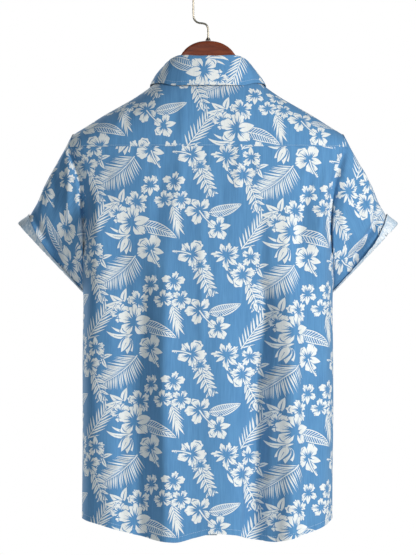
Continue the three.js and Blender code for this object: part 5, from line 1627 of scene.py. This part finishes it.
def button_mesh(name, centre, up, out):
    """A four-hole button with a raised rim."""
    r = BUTTON_D / 2
    radii = [r, r - 0.12, r - 0.45, r - 0.9, r - 1.3, r - 1.65, r - 2.0, 2.6, 1.6]
    verts, faces = [], []
    def circle(cx, cy, q, n, closed=True):
        k = len(verts)
        for i in range(n):
            verts.append(Vector((cx + q * math.cos(2 * math.pi * i / n), cy + q * math.sin(2 * math.pi * i / n))))
        if closed:
            faces.append(list(range(k, k + n)))
    circle(0, 0, radii[0], 48)
    for sx in (-1, 1):
        for sy in (-1, 1):
            circle(sx * HOLE_AT, sy * HOLE_AT, HOLE_R, 12)
    for q in radii[1:-1]:
        circle(0, 0, q, 48 if q > 3 else 24)
    verts.append(Vector((0, 0)))
    c2, _, tri, _, _, ids = delaunay_2d_cdt(verts, [], faces, 1, 1e-4, True)
    c2 = np.array([(c.x, c.y) for c in c2])
    tris = []
    for f, own in zip(tri, ids):
        if 0 in own and not any(k in own for k in (1, 2, 3, 4)):
            a, b, c = c2[list(f)]
            area = (b[0] - a[0]) * (c[1] - a[1]) - (b[1] - a[1]) * (c[0] - a[0])
            tris.append(f if area > 0 else f[::-1])
    tris = np.array(tris)
    rr = np.hypot(c2[:, 0], c2[:, 1])
    high = np.interp(rr, [0, r - 2.0, r - 1.55, r - 1.2, r - 0.55, r - 0.15, r], [1.75, 1.8, 1.95, 2.3, 2.4, 2.15, 1.5])
    low = np.interp(rr, [0, r - 0.9, r - 0.3, r], [0.0, 0.05, 0.4, 0.95])
    right = np.cross(up, out)
    place3 = lambda h: centre + c2[:, :1] * right + c2[:, 1:] * up + h[:, None] * out
    N = len(c2)
    edges = np.concatenate([tris[:, [0, 1]], tris[:, [1, 2]], tris[:, [2, 0]]])
    _, first, count = np.unique(np.sort(edges, axis=1), axis=0, return_index=True, return_counts=True)
    rim_e = edges[first[count == 1]]
    quads = [(int(b), int(a), int(a) + N, int(b) + N) for a, b in rim_e]
    me = bpy.data.meshes.new(name)
    me.from_pydata((np.concatenate([place3(high), place3(low)]) * MM).tolist(), [],
                   [tuple(map(int, f)) for f in tris] + [tuple(map(int, f[::-1] + N)) for f in tris] + quads)
    me.materials.append(shell_look)
    me.update()
    o = bpy.data.objects.new(name, me)
    bpy.context.scene.collection.objects.link(o)
    me.polygons.foreach_set("use_smooth", [True] * len(me.polygons))
    m = o.modifiers.new("corners", "EDGE_SPLIT")
    m.split_angle = 50 * rad
    return o


for k, z in enumerate(BUTTON_Z):
    name = f"button_{k + 1}"
    # above the chest the height becomes a length over the shoulder
    if z > CHEST_Z:
        over = math.asin((z - CHEST_Z) / (float(ridge_at(0.0)) - CHEST_Z)) / rad
        v = float(front_l.flat(np.array([0.0]), np.array([180 - over]))[1][0])
    else:
        v = z
    p, n = front_l.at(np.array([0.0, 0.0]), np.array([v, v + 1.0]))
    out = n[0]
    up = unit(p[1] - p[0] - out * np.dot(p[1] - p[0], out))
    o = button_mesh("shirt_" + name, p[0] + out * (WALL / 2 + 0.42), up, out)
    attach(o, "root")
    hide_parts(name)
    right = np.cross(up, out)
    c = p[0] + out * (WALL / 2 + 0.42)
    runs = []
    for sx in (-1, 1):
        for j in (-0.24, 0.0, 0.24):
            ys = np.array([-1.45, -1.25, -0.6, 0.6, 1.25, 1.45]) * HOLE_AT / 1.25
            hs = np.array([0.6, 1.75, 2.08, 2.08, 1.75, 0.6]) + 0.05 * (j == 0)
            runs.append((c + (sx * HOLE_AT + j) * right + ys[:, None] * up + hs[:, None] * out, np.full(6, 0.17)))
    # the thread that holds it, from the cloth to the button
    for sx in (-1, 1):
        for sy in (-1, 1):
            hs = np.array([-0.5, -0.1, 0.3])
            runs.append((c + sx * 0.9 * right + sy * 0.9 * up + hs[:, None] * out, np.full(3, 0.4)))
    o = tube_mesh(f"thread_{k + 1}", runs, [thread], sides=6)
    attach(o, "root")
    extras.setdefault("front_left", []).extend(["shirt_" + name, o.name])
    # its buttonhole, two rows of close stitches that meet at the ends
    runs = []
    flat_v = np.linspace(-7.6, 7.6, 32)
    for sx in (-1, 1):
        for q in flat_v:
            wide = 0.45 if abs(q) < 7 else 0.1
            e0 = np.array([sx * wide, sx * (wide + 0.35), sx * (wide + 0.8), sx * (wide + 1.0)])
            a, m = front_l.at(e0, np.full(4, v + q))
            runs.append((a + m * (WALL / 2 + np.array([0.0, 0.16, 0.12, -0.1]))[:, None], [0.16, 0.22, 0.22, 0.12]))
    o = tube_mesh(f"buttonhole_{k + 1}", runs, [thread], sides=4)
    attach(o, "root")
    extras["front_left"].append(o.name)

# ------------------------------------------------------------------ hanger
wood_look, nt, bsdf = nodes_of("varnished_wood")
co_ = add_node(nt, "ShaderNodeTexCoord")
grain_map = add_node(nt, "ShaderNodeMapping")
grain_map.inputs["Scale"].default_value = (9, 60, 60)
link(nt, co_.outputs["Object"], grain_map.inputs["Vector"])
grain = add_node(nt, "ShaderNodeTexNoise", Scale=3.0, Detail=6.0, Roughness=0.62, Distortion=0.5)
link(nt, grain_map.outputs["Vector"], grain.inputs["Vector"])
pore_map = add_node(nt, "ShaderNodeMapping")
pore_map.inputs["Scale"].default_value = (60, 900, 900)
link(nt, co_.outputs["Object"], pore_map.inputs["Vector"])
pores = add_node(nt, "ShaderNodeTexNoise", Scale=1.0, Detail=3.0, Roughness=0.6)
link(nt, pore_map.outputs["Vector"], pores.inputs["Vector"])
wood_tint = add_node(nt, "ShaderNodeValToRGB")
el = wood_tint.color_ramp.elements
el[0].position, el[0].color = 0.28, (0.090, 0.016, 0.005, 1)
el[1].position, el[1].color = 0.74, (0.275, 0.062, 0.017, 1)
mid_el = el.new(0.5)
mid_el.color = (0.180, 0.034, 0.0095, 1)
joined = add_node(nt, "ShaderNodeMath", operation="MULTIPLY_ADD")
link(nt, pores.outputs["Fac"], joined.inputs[0])
joined.inputs[1].default_value = 0.22
shift = add_node(nt, "ShaderNodeMath", operation="SUBTRACT")
link(nt, grain.outputs["Fac"], shift.inputs[0])
shift.inputs[1].default_value = 0.11
link(nt, shift.outputs["Value"], joined.inputs[2])
link(nt, joined.outputs["Value"], wood_tint.inputs["Fac"])
link(nt, wood_tint.outputs["Color"], bsdf.inputs["Base Color"])
gloss = add_node(nt, "ShaderNodeMapRange")
gloss.inputs["To Min"].default_value = 0.30
gloss.inputs["To Max"].default_value = 0.48
link(nt, pores.outputs["Fac"], gloss.inputs["Value"])
link(nt, gloss.outputs["Result"], bsdf.inputs["Roughness"])
wood_bump = add_node(nt, "ShaderNodeBump", Strength=0.10, Distance=0.0003)
link(nt, pores.outputs["Fac"], wood_bump.inputs["Height"])
link(nt, wood_bump.outputs["Normal"], bsdf.inputs["Normal"])
bsdf.inputs["Coat Weight"].default_value = 0.12
bsdf.inputs["Coat Roughness"].default_value = 0.2
bsdf.inputs["Specular IOR Level"].default_value = 0.3


def metal_look(name, colour, rough, scale):
    m, nt, bsdf = nodes_of(name)
    c = add_node(nt, "ShaderNodeTexCoord")
    spots = add_node(nt, "ShaderNodeTexNoise", Scale=scale, Detail=4.0, Roughness=0.6)
    link(nt, c.outputs["Object"], spots.inputs["Vector"])
    tone = add_node(nt, "ShaderNodeMix", data_type="RGBA")
    tone.inputs["A"].default_value = (*[q * 0.86 for q in colour], 1)
    tone.inputs["B"].default_value = (*colour, 1)
    link(nt, spots.outputs["Fac"], tone.inputs["Factor"])
    link(nt, tone.outputs["Result"], bsdf.inputs["Base Color"])
    r = add_node(nt, "ShaderNodeMapRange")
    r.inputs["To Min"].default_value = rough - 0.05
    r.inputs["To Max"].default_value = rough + 0.08
    link(nt, spots.outputs["Fac"], r.inputs["Value"])
    link(nt, r.outputs["Result"], bsdf.inputs["Roughness"])
    b = add_node(nt, "ShaderNodeBump", Strength=0.04, Distance=0.0002)
    link(nt, spots.outputs["Fac"], b.inputs["Height"])
    link(nt, b.outputs["Normal"], bsdf.inputs["Normal"])
    bsdf.inputs["Metallic"].default_value = 1.0
    return m


wire_look = metal_look("hook_metal", (0.36, 0.32, 0.25), 0.26, 600.0)
ferrule_look = metal_look("ferrule_metal", (0.20, 0.17, 0.14), 0.34, 500.0)


def ring_mesh(name, rings, mats, closed_ends=True):
    """A closed skin through rings of the same count, smooth."""
    rings = np.asarray(rings, float)
    n, m = rings.shape[:2]
    co = rings.reshape(-1, 3)
    faces = [(k * m + i, k * m + (i + 1) % m, (k + 1) * m + (i + 1) % m, (k + 1) * m + i)
             for k in range(n - 1) for i in range(m)]
    if closed_ends:
        faces.append(tuple(range(m))[::-1])
        faces.append(tuple((n - 1) * m + i for i in range(m)))
    me = bpy.data.meshes.new(name)
    me.from_pydata((co * MM).tolist(), [], faces)
    for q in mats:
        me.materials.append(q)
    me.polygons.foreach_set("use_smooth", [True] * len(me.polygons))
    me.update()
    o = bpy.data.objects.new(name, me)
    bpy.context.scene.collection.objects.link(o)
    # outward
    p = np.array([f.center[:] for f in me.polygons])
    q = np.array([f.normal[:] for f in me.polygons])
    mid = co.reshape(n, m, 3).mean(1) * MM
    own = np.repeat(np.arange(n - 1), m)
    if np.sum((p[:len(own)] - mid[own]) * q[:len(own)]) < 0:
        me.flip_normals()
    return o


wx = np.concatenate([-WOOD_PARTS[:0:-1, 0], WOOD_PARTS[:, 0]])
twice = lambda col: np.concatenate([WOOD_PARTS[:0:-1, col], WOOD_PARTS[:, col]])
w_top, w_low, w_thick = Curve(wx, twice(1)), Curve(wx, twice(2)), Curve(wx, twice(3))
xs = np.concatenate([np.linspace(-211, -200, 12)[:-1], np.linspace(-200, 200, 260), np.linspace(200, 211, 12)[1:]])
f = np.linspace(0, 2 * np.pi, 41)[:-1]
rings = []
for x in xs:
    top, low, thick = float(w_top(x)), float(w_low(x)), float(w_thick(x))
    # a rounded section, its edges eased alike on top and below
    a, b = thick / 2, (top - low) / 2
    power = 0.42 if abs(x) < 190 else mix(0.42, 0.8, (abs(x) - 190) / 21)
    flatter = min(1.0, a / b) if b > a else 1.0
    cy = a * np.sign(np.cos(f)) * np.abs(np.cos(f)) ** power
    cz = b * np.sign(np.sin(f)) * np.abs(np.sin(f)) ** (power * flatter ** 0.4)
    rings.append(np.stack([np.full_like(f, x), cy, (top + low) / 2 + cz], -1))
wood_piece = ring_mesh("hanger_wood_piece", rings, [wood_look])
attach(wood_piece, "root")
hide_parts("hanger_wood")


def spline(points, per=10):
    """Points along a smooth curve through the given ones."""
    q = np.asarray(points, float)
    q = np.concatenate([[2 * q[0] - q[1]], q, [2 * q[-1] - q[-2]]])
    out = []
    for k in range(1, len(q) - 2):
        a, b, c, d = q[k - 1:k + 3]
        for t in np.arange(per) / per:
            out.append(0.5 * (2 * b + (c - a) * t + (2 * a - 5 * b + 4 * c - d) * t * t + (3 * b - a - 3 * c + d) * t ** 3))
    out.append(q[-2])
    return np.array(out)


hook_points = [(0, 0, -98.2), (0, 0, -90), (0, 0, -82), (0.6, 0, -76.5), (3.2, 0, -72), (8.2, 0, -70), (14.5, 0, -69.2),
               (19.6, 0, -67), (23, 0, -62.5), (24.2, 0, -56.5), (24.4, 0, -48), (24.4, 0, -38), (24.4, 0, -30)]
cz = -(HOOK_R - WIRE_D / 2)
hook_points += [(HOOK_R * math.cos(a * rad), 0, cz + HOOK_R * math.sin(a * rad)) for a in range(0, 197, 14)]
line_3d = spline(hook_points)
radii = np.full(len(line_3d), WIRE_D / 2)
tip = unit(line_3d[-1] - line_3d[-2])
ends = [(line_3d[-1] + tip * WIRE_D / 2 * math.sin(a * rad) * 0.6, WIRE_D / 2 * math.cos(a * rad)) for a in (30, 55, 80)]
line_3d = np.concatenate([line_3d, [p for p, _ in ends]])
radii = np.concatenate([radii, [q for _, q in ends]])
hook_piece = tube_mesh("hanger_hook_piece", [(line_3d, radii)], [wire_look], sides=20)
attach(hook_piece, "root")
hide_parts("hanger_hook")

r0 = WIRE_D / 2 + 0.35
profile = [(r0, 0), (4.3, 0), (4.55, 0.12), (4.6, 0.4), (4.6, 1.1), (4.45, 1.4), (4.0, 1.75), (3.55, 2.1), (3.35, 2.5),
           (3.2, 3.4), (3.05, 4.3), (2.85, 4.55), (2.5, 4.6), (r0, 4.6), (r0, 3.0), (r0, 1.5), (r0, 0)]
f = np.linspace(0, 2 * np.pi, 49)[:-1]
rings = [np.stack([a * np.cos(f), a * np.sin(f), np.full_like(f, WOOD_TOP_Z + 0.35 + h)], -1) for a, h in profile]
ferrule_piece = ring_mesh("hanger_ferrule_piece", rings, [ferrule_look], closed_ends=False)
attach(ferrule_piece, "root")
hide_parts("hanger_ferrule")

# ------------------------------------------------------------------ camera and light
bpy.context.scene.view_settings.view_transform = "Standard"
bpy.context.scene.view_settings.look = "None"
MIDDLE_Z = -0.4906
DISTANCE = 9.0
cam_data = bpy.data.cameras.new("camera")
cam_data.sensor_width = 36.0
cam_data.lens = 36.0 * (DISTANCE - 0.03) / 0.9158
cam = bpy.data.objects.new("camera", cam_data)
bpy.context.scene.collection.objects.link(cam)
cam.location = (0, DISTANCE, MIDDLE_Z)
cam.rotation_euler = (math.pi / 2, 0, math.pi)
bpy.context.scene.camera = cam


def lamp(name, at, look_at, size, power, colour=(1, 1, 1)):
    d = bpy.data.lights.new(name, "AREA")
    d.shape = "RECTANGLE"
    d.size, d.size_y = size
    d.energy = power
    d.color = colour
    o = bpy.data.objects.new(name, d)
    bpy.context.scene.collection.objects.link(o)
    o.location = at
    o.rotation_euler = (Vector(look_at) - Vector(at)).to_track_quat("-Z", "Y").to_euler()
    return o


lamp("key", (-2.35, 2.3, 0.35), (0, 0, -0.5), (0.6, 1.1), 88)
lamp("fill", (0.8, 3.1, 0.1), (0, 0, -0.5), (1.4, 1.4), 14)
lamp("front_key", (1.8, -2.4, 0.4), (0, 0, -0.5), (1.4, 1.4), 60)

world = bpy.data.worlds.new("studio")
bpy.context.scene.world = world
world.use_nodes = True
wt = world.node_tree
bg = wt.nodes["Background"]
bg.inputs["Color"].default_value = (0.70, 0.88, 1.0, 1)
bg.inputs["Strength"].default_value = 0.22
seen = wt.nodes.new("ShaderNodeBackground")
seen.inputs["Strength"].default_value = 1.0
seen.inputs["Color"].default_value = (1, 1, 1, 1)
path = wt.nodes.new("ShaderNodeLightPath")
pick = wt.nodes.new("ShaderNodeMixShader")
wt.links.new(path.outputs["Is Camera Ray"], pick.inputs["Fac"])
wt.links.new(bg.outputs["Background"], pick.inputs[1])
wt.links.new(seen.outputs["Background"], pick.inputs[2])
wt.links.new(pick.outputs["Shader"], wt.nodes["World Output"].inputs["Surface"])

floor_mat, nt, bsdf = nodes_of("floor")
bsdf.inputs["Base Color"].default_value = (0.9, 0.9, 0.9, 1)
bsdf.inputs["Roughness"].default_value = 0.9
f = np.linspace(0, 2 * np.pi, 97)[:-1]
floor = new_mesh("floor", np.stack([1900 * np.cos(f), 1900 * np.sin(f), 0 * f - 1300], -1),
                 [np.arange(96)[None, :]], [floor_mat], smooth_=False)
